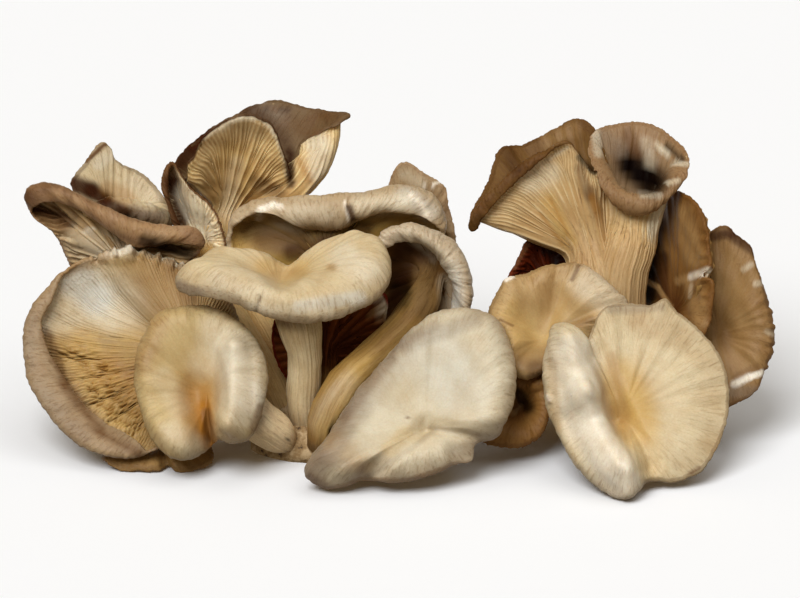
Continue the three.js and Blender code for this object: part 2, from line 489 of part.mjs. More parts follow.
// Where each column runs down the stem: its angle round the stem never turns back.
function stemAngles(columns, first, second) {
  const angles = columns.map((c) => Math.atan2(c.level.dot(second), c.level.dot(first)));
  const count = angles.length;
  const turned = [0];
  for (let i = 1; i < count; i += 1) {
    const step = angles[i] - angles[i - 1];
    turned.push(turned[i - 1] + step - 2 * Math.PI * Math.round(step / (2 * Math.PI)));
  }
  let most = 0;
  return turned.map((angle, i) => {
    most = Math.max(most, angle);
    return angles[0] + GATHER * most + (1 - GATHER) * 2 * Math.PI * (i / count);
  });
}

// Alternate columns of the gill side stand out from it: row holds a point and its outward direction for
// each column, and height is the part of the full gill height reached there.
function raiseGills(row, height, spec) {
  return row.map(({ point, out }, j) => {
    if (j % 2 === 0) return point;
    const near = Math.min(point.distanceTo(row[j - 1].point),
      point.distanceTo(row[(j + 1) % row.length].point));
    return blend([point, 1], [out, height * Math.min(spec.gill, GILL_STEEPNESS * near)]);
  });
}

// A mushroom is a cap, a shell from the hub over the margin and back along the gills, joined to a stem
// that starts inside the shell, flares from its gill side and runs down to the foot.
function mushroomParts(spec) {
  const hub = upright(spec.hub);
  const up = upright(spec.up).normalize();
  let rim = spec.rim.map((row) => [...upright(row).toArray(), row[3], row[4], row[5] ?? 1]);
  const around = rim.reduce((sum, row, i) => {
    const here = new THREE.Vector3(...row).sub(hub);
    const next = new THREE.Vector3(...rim[(i + 1) % rim.length]).sub(hub);
    return sum + here.cross(next).dot(up);
  }, 0);
  if (around < 0) rim = rim.reverse();
  const total = spec.columns * FINE;
  const columns = evenRows(smoothRows(rim, true, 40), total, true)
    .map((row) => capColumn(row, hub, up, spec));
  const picked = Array.from({ length: spec.columns }, (_, k) => k * FINE);
  const under = (i, reach, depth = 1) => {
    const normal = skinNormal(columns, i, reach);
    const point = skinPoint(columns[i], reach);
    point.addScaledVector(normal, -thickness(spec, reach) * depth);
    return { point, out: normal.negate() };
  };

  const rolled = spec.rim.some((row) => Math.abs(row[4]) > FULL_ROLL_DEG);
  const rollRows = rolled ? ROLLED_ROWS : FLAT_ROWS;
  const skin = [...CAP_ROWS, ...rollRows.map((q) => 1 + q)]
    .map((reach) => picked.map((i) => skinPoint(columns[i], reach)));
  const rolledGills = [...rollRows].reverse().map((q) => raiseGills(
    picked.map((i) => under(i, 1 + q)),
    GILL_AT.edge + (GILL_AT.cap[0] - GILL_AT.edge) * (1 - q),
    spec,
  ));
  const gills = [...CAP_ROWS].reverse()
    .map((reach, k) => raiseGills(picked.map((i) => under(i, reach)), GILL_AT.cap[k], spec));
  const middle = blend([hub, 1], [up, foldLift(hub, spec.folds ?? [])]);
  const inside = blend([middle, 1], [up, -spec.thick[0]]);
  const cap = closedRows(middle, [...skin, ...rolledGills, ...gills], inside, skin.length);

  const first = new THREE.Vector3(0.1, 0.3, 1).cross(up).normalize();
  if (Math.abs(up.z) > 0.9) first.set(1, 0, 0).cross(up).normalize();
  const second = up.clone().cross(first);
  const angles = stemAngles(columns, first, second);
  const knots = spec.stem.map((row) => [...upright(row).toArray(), row[3]]).reverse();
  const path = evenRows(smoothRows(knots, false, 24), STEM_ROWS, false);
  const frames = stemFrames(path, up, first, second);
  const ring = (frame) => picked.map((i) => {
    const out = blend([frame.x, Math.cos(angles[i])], [frame.y, Math.sin(angles[i])]);
    return { point: blend([frame.centre, 1], [out, frame.radius]), out };
  });
  const joint = (i) => THREE.MathUtils.clamp((1.6 * knots[0][3]) / columns[i].length, 0.06, 0.6);
  const top = ring(frames[0]);
  const flare = picked.map((i, k) => {
    const root = under(i, joint(i));
    const step = under(i, joint(i) + 0.04 * (1 - joint(i)));
    const inward = blend([root.point, 1], [step.point, -1]).normalize();
    const pull = FLARE_PULL * root.point.distanceTo(top[k].point);
    const point = bezier([
      root.point,
      blend([root.point, 1], [inward, pull]),
      blend([top[k].point, 1], [frames[0].tangent, -pull]),
      top[k].point,
    ], 0.5);
    return { point, out: blend([root.out, 1], [top[k].out, 1]).normalize() };
  });
  const stemRows = [
    picked.map((i) => under(i, 0.5 * joint(i), 0.5).point),
    picked.map((i) => under(i, joint(i), 0.6).point),
    raiseGills(flare, GILL_AT.flare, spec),
    ...frames.map((frame, k) => raiseGills(ring(frame), GILL_AT.stem[k], spec)),
  ];
  const foot = frames[frames.length - 1].centre;
  const stem = closedRows(blend([middle, 0.5], [inside, 0.5]), stemRows, foot, 0);
  return { cap, stem, hole: holeGeometry(frames) };
}

// Closed surface from a pole over the rows to the other pole. The quads of the gill side are split
// the other way along the row, so that the triangles on both faces of the cap lie alike.
function closedRows(start, rows, end, turnFrom) {
  const count = rows[0].length;
  const points = [start, ...rows.flat(), end];
  const index = [];
  for (let i = 0; i < count; i += 1) {
    const j = (i + 1) % count;
    index.push(0, 1 + i, 1 + j);
    for (let k = 0; k < rows.length - 1; k += 1) {
      const a = 1 + k * count;
      const b = a + count;
      if (k < turnFrom) index.push(a + i, b + i, b + j, a + i, b + j, a + j);
      else index.push(a + i, b + i, a + j, a + j, b + i, b + j);
    }
    const last = 1 + (rows.length - 1) * count;
    index.push(last + i, points.length - 1, last + j);
  }
  const geometry = new THREE.BufferGeometry().setFromPoints(points);
  geometry.setIndex(index);
  return geometry;
}

// ---- joining and cutting ----

function toSolid(geometry) {
  const bare = geometry.clone();
  bare.deleteAttribute('normal');
  bare.deleteAttribute('uv');
  const merged = mergeVertices(bare, 1e-4);
  return new wasm.Manifold(new wasm.Mesh({
    numProp: 3,
    vertProperties: Float32Array.from(merged.attributes.position.array),
    triVerts: Uint32Array.from(merged.index.array),
  }));
}

// The largest body of a solid, without scraps left by a join.
function mainBody(solid) {
  return solid.decompose().reduce((most, body) => (body.volume() > most.volume() ? body : most));
}

function toGeometry(solid) {
  const mesh = solid.getMesh();
  const geometry = new THREE.BufferGeometry();
  geometry.setAttribute('position', new THREE.BufferAttribute(mesh.vertProperties, 3));
  geometry.setIndex(new THREE.BufferAttribute(mesh.triVerts, 1));
  return geometry;
}

// ---- the base clump ----

// A long low mound with a flat underside. Each station is a half oval, knobbly on top.
function clumpGeometry() {
  const rows = CLUMP_STATIONS.map(([x, front, back, height], s) => {
    const middle = (front + back) / 2;
    const half = (back - front) / 2;
    const row = [];
    for (let i = 0; i <= CLUMP_SIDES; i += 1) {
      const angle = (Math.PI * i) / CLUMP_SIDES;
      const knob = i > 0 && i < CLUMP_SIDES ? CLUMP_LUMP * Math.sin(2.3 * s + 1.9 * i) : 0;
      const rise = (height + knob) * Math.sin(angle) ** 0.6;
      row.push(new THREE.Vector3(x, middle - (half + knob) * Math.cos(angle), Math.max(rise, 0)));
    }
    return row;
  });
  const ends = [rows[0], rows[rows.length - 1]].map((row) => {
    const middle = blend([row[0], 0.5], [row[row.length - 1], 0.5]);
    middle.z = 0;
    return middle;
  });
  return closedRows(ends[0], rows, ends[1], 0);
}

// Plain hole for the buried end of a stem: its own rows of points from just under the foot until they
// have left the clump, a little wider than the stem.
function holeGeometry(frames) {
  const rising = [...frames].reverse();
  const rows = [];
  for (let k = 0; k < rising.length; k += 1) {
    const { x, y, tangent, centre, radius } = rising[k];
    const place = k === 0 ? blend([centre, 1], [tangent, HOLE_DEPTH]) : centre;
    const wide = (radius + STEM_GAP) / Math.cos(Math.PI / HOLE_SIDES);
    rows.push(Array.from({ length: HOLE_SIDES }, (_, i) => {
      const angle = (-2 * Math.PI * i) / HOLE_SIDES;
      return blend([place, 1], [x, wide * Math.cos(angle)], [y, wide * Math.sin(angle)]);
    }));
    if (centre.distanceTo(rising[0].centre) > HOLE_REACH) break;
  }
  const middle = (row) => blend(...row.map((point) => [point, 1 / row.length]));
  return closedRows(middle(rows[0]), rows, middle(rows[rows.length - 1]), 0);
}

// Arched opening through the clump from front to back, under its thickest part.
function archGeometry() {
  const half = (ARCH.to - ARCH.from) / 2;
  const shape = new THREE.Shape();
  shape.moveTo(-half, -2);
  shape.lineTo(-half, 0);
  for (let i = 1; i < ARCH.sides; i += 1) {
    const angle = (Math.PI * i) / ARCH.sides;
    shape.lineTo(-half * Math.cos(angle), ARCH.height * Math.sin(angle));
  }
  shape.lineTo(half, 0);
  shape.lineTo(half, -2);
  shape.closePath();
  const geometry = new THREE.ExtrudeGeometry(shape, { depth: 100, bevelEnabled: false });
  geometry.rotateX(Math.PI / 2);
  geometry.translate((ARCH.from + ARCH.to) / 2, 90, 0);
  return geometry;
}

// ---- the model ----

const cluster = new THREE.Group();
cluster.name = 'oyster_mushroom_cluster';
cluster.position.set(-REST_POINT[0], -REST_POINT[1], 0);

function addPiece(name, geometry, colour, roughness) {
  geometry.computeVertexNormals();
  const material = new THREE.MeshStandardMaterial({ color: colour, roughness, metalness: 0 });
  const mesh = new THREE.Mesh(geometry, material);
  mesh.name = name;
  cluster.add(mesh);
}

const solids = {};
let clump = toSolid(clumpGeometry()).subtract(toSolid(archGeometry()));
Object.entries(MUSHROOMS).forEach(([name, spec]) => {
  const { cap, stem, hole } = mushroomParts(spec);
  solids[name] = mainBody(toSolid(cap).add(toSolid(stem)));
  clump = clump.subtract(toSolid(hole));
});
solids.right_trumpets = solids.right_trumpet.add(solids.right_twin);
delete solids.right_trumpet;
delete solids.right_twin;
const SKIN_ROUGHNESS = 0.6;
Object.entries(solids).forEach(([name, solid]) => {
  const colour = (MUSHROOMS[name] ?? MUSHROOMS.right_trumpet).colour;
  addPiece(`mushroom_${name}`, toGeometry(solid), colour, SKIN_ROUGHNESS);
});

addPiece('base_clump', toGeometry(mainBody(clump)), CLUMP_COLOUR, 0.9);

export default cluster;
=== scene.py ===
"""A cluster of oyster mushrooms on its base clump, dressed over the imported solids."""
import math
from collections import namedtuple

import bpy
import numpy as np
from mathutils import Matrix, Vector


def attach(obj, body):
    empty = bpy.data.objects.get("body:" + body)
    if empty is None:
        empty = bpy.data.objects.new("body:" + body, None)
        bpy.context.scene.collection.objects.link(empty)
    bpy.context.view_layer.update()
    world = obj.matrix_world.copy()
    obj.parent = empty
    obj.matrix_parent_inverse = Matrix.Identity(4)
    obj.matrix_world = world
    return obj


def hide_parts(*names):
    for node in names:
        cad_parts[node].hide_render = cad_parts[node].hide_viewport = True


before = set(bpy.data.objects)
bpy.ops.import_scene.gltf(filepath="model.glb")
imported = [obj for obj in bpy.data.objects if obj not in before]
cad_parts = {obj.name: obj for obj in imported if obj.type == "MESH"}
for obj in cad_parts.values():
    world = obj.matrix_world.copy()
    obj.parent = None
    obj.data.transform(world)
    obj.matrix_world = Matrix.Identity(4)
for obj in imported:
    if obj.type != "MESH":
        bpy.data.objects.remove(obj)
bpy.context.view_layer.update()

bl_info = {
    "name": "Oyster Mushroom Cluster",
    "version": (1, 0, 0),
    "blender": (4, 5, 0),
    "location": "View3D > Sidebar > Mushrooms",
    "description": "Builds a cluster of oyster mushrooms with gills, rolled caps and a base clump",
    "category": "Add Mesh",
}

MM = 0.001
LEAN = math.radians(20)  # the frame the mushrooms are drawn in leans back by this angle
REST_POINT = np.array((30.0, 37.0, 0.0))  # the model's origin, in the drawing's upright x, y, z

# ---------------------------------------------------------------- the drawing

# How many rows of points lie over the skin, round the roll, under the cap, down the flare and down the stem
SKIN_SHOWN = (32, 9, 10, 4, 10)
GILLS_SHOWN = (16, 7, 18, 6, 14)
HALF_HIDDEN = (8, 4, 6, 3, 6)

# Every mushroom is drawn in the leaning frame as (across, up, back), in millimetres.
#   hub        middle of the cap's upper skin, and up is the direction that the skin faces there
#   roll       radii of the rolled margin, along the cap and across it
#   thick      thickness at the hub and at the margin
#   bend       how far the cap's profile keeps its direction at the hub and at the margin
#   rim        (across, up, back, dive, roll, belly): margin points, with how steeply the cap runs down to
#              its margin and how far the margin curls under, in degrees, and how much further than
#              elsewhere the cap runs level from the hub (1 where it is left out)
#   folds      soft ridges and valleys of the whole cap: (line, width, lift)
#   stem       (across, up, back, radius) from foot to top
#   gills      how many start at the margin, how high they stand, and the columns of points for each
#   margin     how far in the margin's colour reaches, and how strong it is
#   rows       how many rows of points lie over each stretch, as above
#   decurrent  share of the stem that the gills run down, DECURRENT where it is left out
#   fade       share of their height that the gills keep by the margin, all of it where it is left out
#   furrow     height of the stem's fibres, FURROW where it is left out
#    tones      sRGB colours: skin by the hub, skin, margin, edges of the gills, between them, stem. The darker
#               colour between the gills paints the shade of the grooves, and a near black hub paints the
#               shade deep in a funnel
#   marks      (kind, line, width, strength, side), laid on in this order
# A line is (across, up, across, up ...), seen from the front. A mark's kind is a colour of STROKES, which
# are partly the flesh's own colours and partly painted highlights and painted shade, or a bump, a dent or a
# frill that moves the surface by its strength in mm, or crisp, which tears and crumples the gills, or soft,
# which flattens them. Its side is top or gills for that side where it faces the front, inside for all of
# the upper skin, both for everything, and all that faces the front where it is left out.
MUSHROOMS = {
    "left_large": dict(
        hub=(-82, 40, 8), up=(-0.3, -0.3, 0.9), roll=(10, 4.5), thick=(6, 1.8), bend=(0.35, 0.35),
        rim=(
            (-80, 74, 16, 5, 0), (-88, 78.5, 16, 5, 0), (-96, 82, 16, 5, 0), (-106, 84, 15, 5, 0),
            (-116, 82, 14, 8, 0), (-126, 81.5, 13, 12, 60), (-136, 76, 11, 15, 100), (-144, 67, 9, 15, 140),
            (-150, 58, 6, 15, 150), (-151, 46, 3, 15, 170), (-149, 33, -1, 15, 200), (-141, 20, -6, 15, 200),
            (-130, 9, -11, 15, 200), (-118, 3, -15, 15, 190), (-106, 2.5, -16, 15, 140),
            (-97, 5, -14, 12, 60), (-86, 12, -8, 10, 0), (-72, 22, 1, 10, 0), (-65, 36, 7, 10, 0),
            (-64, 50, 11, 10, 0), (-69, 65, 14, 8, 0),
        ),
        stem=((-51, 13.3, 13.3, 5), (-58, 20, 6.5, 5.5), (-67, 29, 1, 6), (-75, 36, -1, 7)),
        gills=(180, 1.2, 4), margin=(0.3, 0.7), rows=(8, 12, 26, 6, 10), decurrent=0.6,
        tones=("c9a468", "bda682", "9b8364", "b79c68", "b4966a", "dcc7a0"),
        marks=(
            # the pale strokes on the upper gills are partly their own pale colour and partly a painted
            # highlight, and the bluish white one is a painted highlight
            ("pale", (-130, 76, -112, 62), 15, 0.65, "gills"),
            ("pale", (-137, 58, -118, 62), 12, 0.5, "gills"),
            ("blue", (-132, 74, -122, 66), 11, 0.7, "gills"),
            ("yellow", (-128, 44, -108, 16), 14, 0.6, "gills"),
            ("orange", (-116, 36, -100, 20), 13, 0.3, "gills"),
            ("yellow", (-110, 46, -96, 42), 10, 0.3, "gills"), ("soft", (-136, 72, -104, 58), 26, 0.75),
            ("frill", (-122, 82, -106, 84), 3.4, 1.3, "both"),
            ("frill", (-106, 84.5, -84, 76.5), 3.8, 1.5, "both"),
            ("bump", (-116, 83, -109, 84), 5, 2.4, "both"), ("pale", (-122, 83, -108, 84), 3.4, 0.75),
            ("pale", (-106, 85.4, -84, 77.4), 2.6, 0.8, "both"), ("white", (-117, 85, -109, 86.5), 4.5, 0.6),
            ("umber", (-105.5, 88, -103.5, 85), 1.6, 0.6), ("crisp", (-130, 46, -102, 40), 9, 1),
            ("crisp", (-131, 36, -112, 18), 13, 1), ("crisp", (-118, 30, -104, 16), 12, 0.9),
            ("pale", (-139, 68, -143, 54), 5, 0.6, "gills"),
            # the brown line along the roll's inner edge paints the shade under the roll
            ("brown", (-142, 52, -134, 31, -119, 12, -104, 4), 3, 0.7),
            ("grey", (-150, 60, -151, 38), 7, 0.35), ("grey", (-145, 28, -128, 10), 7, 0.35),
            ("tan", (-136, 78, -120, 83), 6, 0.6), ("tan", (-98, 78, -90, 60), 15, 0.7, "gills"),
            ("olive", (-110, 72, -98, 58), 10, 0.3, "gills"),
            ("olive", (-112, 26, -102, 12), 7, 0.3, "gills"), ("brown", (-90, 80, -84, 66), 6, 0.4, "gills"),
        ),
    ),
    "left_low": dict(
        hub=(-77, 29, -20), up=(-0.15, 0.35, -0.92), roll=(5, 5), thick=(7, 2), bend=(0.4, 0.45),
        rim=(
            (-84, 61, -8, 60, 60), (-95, 58.5, -9, 60, 60), (-102, 49, -12, 60, 60), (-105, 37, -14, 60, 60),
            (-103, 23, -17, 60, 60), (-98, 10, -20, 60, 60), (-91, 3, -23, 60, 60), (-84, 1.3, -23, 55, 60),
            (-78.5, 3.5, -20, 45, 40), (-75, 7.5, -17, 30, 20), (-72, 9, -24.5, 50, 50),
            (-66, 7.8, -28, 60, 60), (-60, 9.5, -27.5, 60, 60), (-56, 16, -26, 60, 60),
            (-53.5, 27, -22, 60, 60), (-53.2, 37, -18, 60, 60), (-56, 45, -14, 60, 60),
            (-62, 53, -10, 60, 60), (-71, 59, -8, 60, 60),
        ),
        folds=(((-82, 30, -78.5, 11), 8, -4), ((-66, 44, -66.5, 14), 8.5, 7)),
        stem=((-46, 9, 2, 6), (-51, 12.5, -5, 8), (-59, 19, -11.5, 8.5)),
        gills=(48, 1.6, 5), margin=(0.35, 0.6), rows=SKIN_SHOWN,
        tones=("b8955c", "c7af7c", "84693f", "d8c08a", "8a6226", "ffe9c0"),
        marks=(
            # painted shade: the orange, tan and brown strokes darken the hollow of the fold
            ("orange", (-80, 26, -77.5, 12), 8, 0.6), ("orange", (-83, 24, -81, 12), 11, 0.25),
            ("tan", (-84, 27, -82, 12), 9, 0.4), ("orange", (-78, 22, -76, 8), 4.5, 0.95),
            ("brown", (-77, 20, -75.6, 10), 3, 0.6), ("pale", (-90, 12, -82, 6), 8, 0.45),
            # painted highlight: the bluish white, white and pale strokes on the right lobe light it
            ("pale", (-94, 34, -88, 22), 7, 0.25), ("blue", (-64, 42, -61, 24), 15, 0.45),
            ("white", (-68, 44, -60, 26), 8, 0.3), ("pale", (-72, 52, -62, 40), 12, 0.5),
            ("pale", (-66, 38, -68, 14), 9, 0.35), ("tan", (-66, 12, -70, 8), 5, 0.3),
            ("pale", (-74, 46, -78, 40), 10, 0.35), ("tan", (-96, 55, -103, 40), 7, 0.6),
            ("brown", (-55, 22, -58, 14), 3, 0.55), ("umber", (-44.5, 9, -44.1, 8.6), 0.9, 0.8),
        ),
    ),
    "left_shelf": dict(
        hub=(-48, 75, -10), up=(0.05, 0.94, -0.34), roll=(5, 5), thick=(8, 2), bend=(0.35, 0.45),
        rim=(
            (-88, 69, -17, 40, 90), (-81, 66.5, -24, 50, 60), (-70, 65, -27, 50, 60),
            (-59, 60.5, -29, 55, 60), (-47, 56.8, -30, 60, 60), (-36, 55.5, -30, 60, 60),
            (-24, 57.8, -29, 60, 60), (-13, 62.5, -26, 60, 60), (-7, 67, -22, 65, 60),
            (-4.5, 74, -14, 70, 60), (-7, 80, -6, 80, 60), (-14, 83, 0, 90, 60), (-24, 83, 4, 90, 60),
            (-34, 80, 7, 60, 40), (-44, 80, 7, 30, 30), (-55, 82.5, 4, 30, 40), (-66, 82.3, 1, 35, 50),
            (-77, 80.5, -3, 40, 60), (-84, 75.5, -9, 40, 60),
        ),
        folds=(((-47, 76, -44, 82), 10, -3),),
        stem=((-37, 12, 9.5, 5.5), (-38.5, 26, 2, 6.8), (-38, 42, -5, 6.8), (-40, 55, -11, 8.5)),
        gills=(60, 1.6, 5), margin=(0.25, 0.75), rows=(28, 9, 14, 6, 14),
        tones=("bfa574", "d0bd96", "a18f76", "c9ad74", "6e4a20", "e9d6ac"),
        marks=(
            ("yellow", (-54, 78, -40, 78), 6, 0.4, "top"), ("tan", (-50, 75, -40, 76), 3, 0.5, "top"),
            ("pale", (-22, 82, -12, 76), 9, 0.7, "top"), ("pale", (-70, 74, -55, 70), 9, 0.35, "top"),
            ("tan", (-28, 78, -26.5, 77.6), 2, 0.7, "top"), ("brown", (-57, 60, -55.2, 66), 0.8, 0.8, "top"),
            # the brown stroke on the gill side paints the shade under the front margin
            ("dent", (-57, 60, -55.2, 66), 1.2, 0.8, "top"), ("brown", (-62, 60, -44, 57), 4, 0.6, "gills"),
            # the bluish white stroke, and the pale one on the next line, paint highlights along the lower
            # roll
            ("grey", (-88, 70, -80, 67), 4, 0.6, "top"), ("blue", (-40, 62, -16, 66), 4, 0.5, "top"),
            ("pale", (-58, 62, -28, 60), 3, 0.4, "top"), ("olive", (-34, 44, -36, 26), 7, 0.2, "gills"),
        ),
    ),
    "front_fan": dict(
        hub=(10, 16, -31), up=(-0.05, 0.42, -0.9), roll=(5, 5), thick=(7, 2), bend=(0.42, 0.45),
        rim=(
            (-37, -5, -31, 60, 60), (-30, -9.8, -32, 60, 60), (-21, -8.7, -34, 55, 60),
            (-13, -6, -34, 45, 50), (-4, -7.3, -36, 45, 50), (6, -6.3, -37, 40, 40), (15, -3.5, -36, 40, 40),
            (23, 0.5, -34, 30, 20), (28, 2, -32, 25, 10), (30, 8, -30, 35, 20), (38, 11, -28, 55, 60),
            (43, 20, -25, 65, 60), (45, 32, -20, 70, 60), (43, 44, -15, 70, 60), (38, 54, -9, 70, 60),
            (29, 57.5, -5, 70, 60), (17, 56.5, -3, 70, 60), (6, 51.5, -6, 60, 60), (-4, 40, -11, 60, 60),
            (-12, 31, -15, 60, 60), (-20, 20, -17, 60, 60), (-28, 8, -23, 60, 60), (-34, 1.5, -28, 60, 60),
        ),
        folds=(((10, 15, -12, -5), 5, -2.5), ((10, 15, 40, 11), 5, -2.5), ((22, 6, 30, 2), 6, -2)),
        stem=((-20, 10.2, 4.8, 5.5), (-8, 12.5, -4, 6.5), (2, 17, -15, 8)),
        gills=(52, 1.6, 5), margin=(0.42, 0.85), rows=SKIN_SHOWN,
        tones=("cdbf9f", "d2c8ae", "977b5c", "c9ad74", "6e4a20", "b4955f"),
        marks=(
            # the bluish white and pale strokes paint highlights on the upper right
            ("blue", (16, 40, 23, 30), 18, 0.35), ("pale", (36, 32, 30, 20), 10, 0.4),
            ("brown", (-36, 0, -22, 20), 5.5, 0.5), ("brown", (-22, 20, -4, 42), 5, 0.5),
            ("brown", (-2, 46, 14, 55), 3.5, 0.35), ("grey", (-34, -2, -18, 22), 10, 0.4),
            ("grey", (-18, 22, 0, 44), 9, 0.35), ("tan", (-26, 8, -15, 1), 7, 0.5),
            ("brown", (-30, 2, -16, -2), 4, 0.3), ("pale", (-12, 10, 6, 22), 10, 0.35),
            ("grey", (-34, -4, -20, 14), 5, 0.4), ("grey", (2, 47, 30, 57), 5, 0.45),
            # the thin grey strokes on the fold lines, and the grey one on the valley at the lower right,
            # paint shade in the creases
            ("brown", (-36, -6, -30, -9), 4, 0.5), ("grey", (14, 13, -12, -5), 1.8, 0.3),
            ("pale", (2, 4, 16, 10), 4, 0.35), ("grey", (12, 14.5, 38, 11), 1.8, 0.4),
            ("pale", (16, 6, 40, 4), 8, 0.5), ("brown", (3, 18.3, 3.4, 18), 1, 0.6),
            ("grey", (22, 3, 31, 7), 6, 0.5), ("yellow", (2, 12, -4, 6), 5, 0.3),
        ),
    ),
    "centre_funnel": dict(
        hub=(15, 78, 25), up=(0.1, 0.1, 0.99), roll=(9, 5), thick=(6, 1.8), bend=(0.35, 0.35),
        rim=(
            (-10, 86, 6, 20, 120), (-4, 92, 3, 20, 150), (4, 92.8, 2, 20, 160), (12, 89.5, 2, 20, 170),
            (19, 82.5, 2, 20, 190), (24, 74.5, 2, 20, 215), (26.5, 64, 3, 20, 220), (25, 56, 6, 20, 190),
            (18, 50, 14, 20, 60), (6, 48, 22, 10, 0), (-6, 54, 27, 10, 0), (-14, 66, 24, 10, 0),
            (-14, 78, 14, 10, 60),
        ),
        stem=(
            (-31.5, 6.2, -0.6, 5.5), (-29.5, 17, -7, 7.5), (-22, 31, -7, 7.5), (-9, 43, -1, 7.5),
            (2, 53, 6, 8), (8, 62, 11, 7),
        ),
        gills=(72, 1.3, 6), margin=(0.35, 0.7), rows=(14, 14, 16, 6, 14), decurrent=0.6,
        tones=("8b6a3c", "d8c9ae", "bba98e", "8a6534", "5a3410", "a88648"),
        marks=(
            # the dark, umber and brown strokes on the gill side paint the shade in the hollow under the cap
            ("dark", (1, 66, 0, 72), 8, 0.85, "gills"), ("umber", (0, 76, 2, 86), 9, 0.75, "gills"),
            ("umber", (-5, 60, -2, 66), 5, 0.8, "gills"), ("brown", (8, 84, 12, 76), 4, 0.6, "gills"),
            ("soft", (3, 58, 6, 84), 24, 1), ("bump", (0, 77, 5, 62), 14, 0.9, "gills"),
            # the bluish white and pale strokes paint highlights on the roll
            ("blue", (22, 60, 20.5, 76), 6, 0.6, "top"), ("pale", (20, 76, 13, 85), 5, 0.5, "top"),
            ("olive", (11, 60, 11, 76), 7, 0.6, "gills"), ("pale", (19, 60, 18, 72), 5, 0.4, "gills"),
            ("pale", (4, 91, 14, 84), 4, 0.5), ("tan", (9, 76, 9, 60), 5, 0.35, "gills"),
            # the yellow, brown and olive strokes on the stem paint the shade that the caps above cast on it
            ("yellow", (-20, 34, 2, 50), 6, 0.55, "gills"), ("brown", (-8, 46, 4, 58), 4, 0.4, "gills"),
            ("pale", (-32, 18, -22, 30), 7, 0.35, "gills"), ("yellow", (-30, 14, -20, 26), 7, 0.45, "gills"),
            ("olive", (-12, 36, 4, 52), 4, 0.5, "gills"), ("olive", (8, 58, 11, 72), 5, 0.8, "gills"),
            # painted shadow beside the stem's foot
            ("dark", (-27.5, 12.5, -22, 19.5), 2.2, 0.97),
        ),
    ),
    "centre_shelf": dict(
        hub=(-28, 84, 34), up=(0, 0.5, 0.86), roll=(8, 7.5), thick=(7, 1.8), bend=(0.35, 0.35),
        rim=(
            (-70, 88, 26, 20, 60), (-67, 97, 23, 20, 100), (-60, 102, 21, 20, 110), (-53, 103, 20, 20, 130),
            (-46, 103, 19, 20, 190), (-34, 104, 18, 20, 200), (-22, 104.5, 18, 20, 200),
            (-10, 106.5, 19, 20, 200), (0, 108.5, 20, 20, 200), (8, 108, 20, 20, 190), (15, 103, 21, 20, 150),
            (18, 94, 23, 20, 100), (16, 84, 27, 20, 40), (8, 74, 34, 10, 0), (-8, 66, 38, 10, 0),
            (-30, 62, 40, 10, 0), (-52, 66, 37, 10, 0), (-66, 76, 30, 10, 0),
        ),
        stem=((-24, 19, 29, 5.5), (-27, 40, 32, 7), (-29, 62, 29, 8)),
        gills=(72, 0.6, 6), margin=(0.35, 0.6), rows=(16, 15, 16, 5, 10),
        tones=("bb965b", "d2bf9f", "ac9674", "b39450", "7c5a24", "a98b54"),
        marks=(
            # the bluish white and pale strokes paint highlights on the roll
            ("blue", (2, 107, 12, 100), 6, 0.5), ("pale", (-16, 103, 2, 104), 6, 0.75),
            ("pale", (-44, 100, -28, 99), 4, 0.35), ("pale", (-50, 96, -40, 94), 4, 0.3),
            ("white", (-57.4, 98, -55.8, 101.3, -51, 103.6), 2, 0.85),
            ("white", (-51, 103.6, -48, 102.6), 1.8, 0.7), ("white", (-22.3, 104.5, -20.8, 97), 0.9, 1),
            # the umber stroke paints the shade inside the crack
            ("umber", (-20.5, 102, -18.5, 96), 2.2, 0.85), ("dent", (-20.5, 103, -18.5, 96), 2.4, 1.2),
            # the white curve paints a highlight on the edge of the fold at the right
            ("white", (4.6, 107, 8, 104, 11, 99.5), 1.7, 0.85), ("soft", (-84, 88, -20, 92), 34, 1),
            ("bump", (-62, 88, -24, 91), 16, 0.6, "gills"), ("yellow", (-86, 84, -58, 90), 14, 0.7, "gills"),
            # the brown and umber strokes on the gill side paint the shade under the roll
            ("olive", (-60, 92, -44, 89), 9, 0.6, "gills"), ("brown", (-54, 88, -30, 87), 8, 0.6, "gills"),
            ("umber", (-44, 84, -30, 86), 5, 0.7, "gills"), ("umber", (-30, 90, -14, 93), 5, 0.7, "gills"),
        ),
    ),
    "left_trumpet": dict(
        hub=(-69.5, 103.5, 47), up=(0.28, 0.93, 0.1), roll=(4, 4), thick=(3.6, 1.6), bend=(0.2, 0.32),
        rim=(
            (-85.3, 114.5, 20.5, 0, 0, 1.2), (-84.5, 121, 17, 0, 0, 1.4), (-82, 123.5, 17.5, 0, 0),
            (-80, 129, 17, 0, 0), (-74, 134.5, 17, 0, 0), (-62, 139.8, 17, 0, 0), (-52, 135.8, 19, 0, 0),
            (-48, 127, 23, 0, 0), (-45, 118, 29, 0, 0), (-44, 112.5, 37, -20, 0, 1.2),
            (-42, 119, 38, -40, 20, 1.6), (-39, 129.5, 36, -60, 80, 2), (-29, 135.5, 34, -70, 100, 2.4),
            (-22, 140.5, 38, -50, 120, 2.3), (-29, 141.5, 46, -20, 60, 2), (-40, 143.5, 50, 10, 0),
            (-52, 146, 52, 10, 0), (-64, 141, 52, 10, 0), (-78, 133, 48, 10, 0), (-90, 121.5, 39, 0, 0),
        ),
        stem=(
            (-40, 19.8, 31, 5.5), (-45, 35, 34, 6.5), (-55, 55, 42, 7.5), (-66, 72, 47, 8),
            (-72.5, 88, 46, 9.5),
        ),
        gills=(120, 0.9, 5), margin=(0.35, 0.8), rows=GILLS_SHOWN, decurrent=0.4, fade=0.3,
        # the near black hub tone paints the shade deep in the trumpet
        tones=("2c1004", "7a6242", "6a5238", "f6dda5", "b08441", "e6c585"),
        marks=(
            ("brown", (-76, 131, -56, 136), 10, 0.5, "gills"),
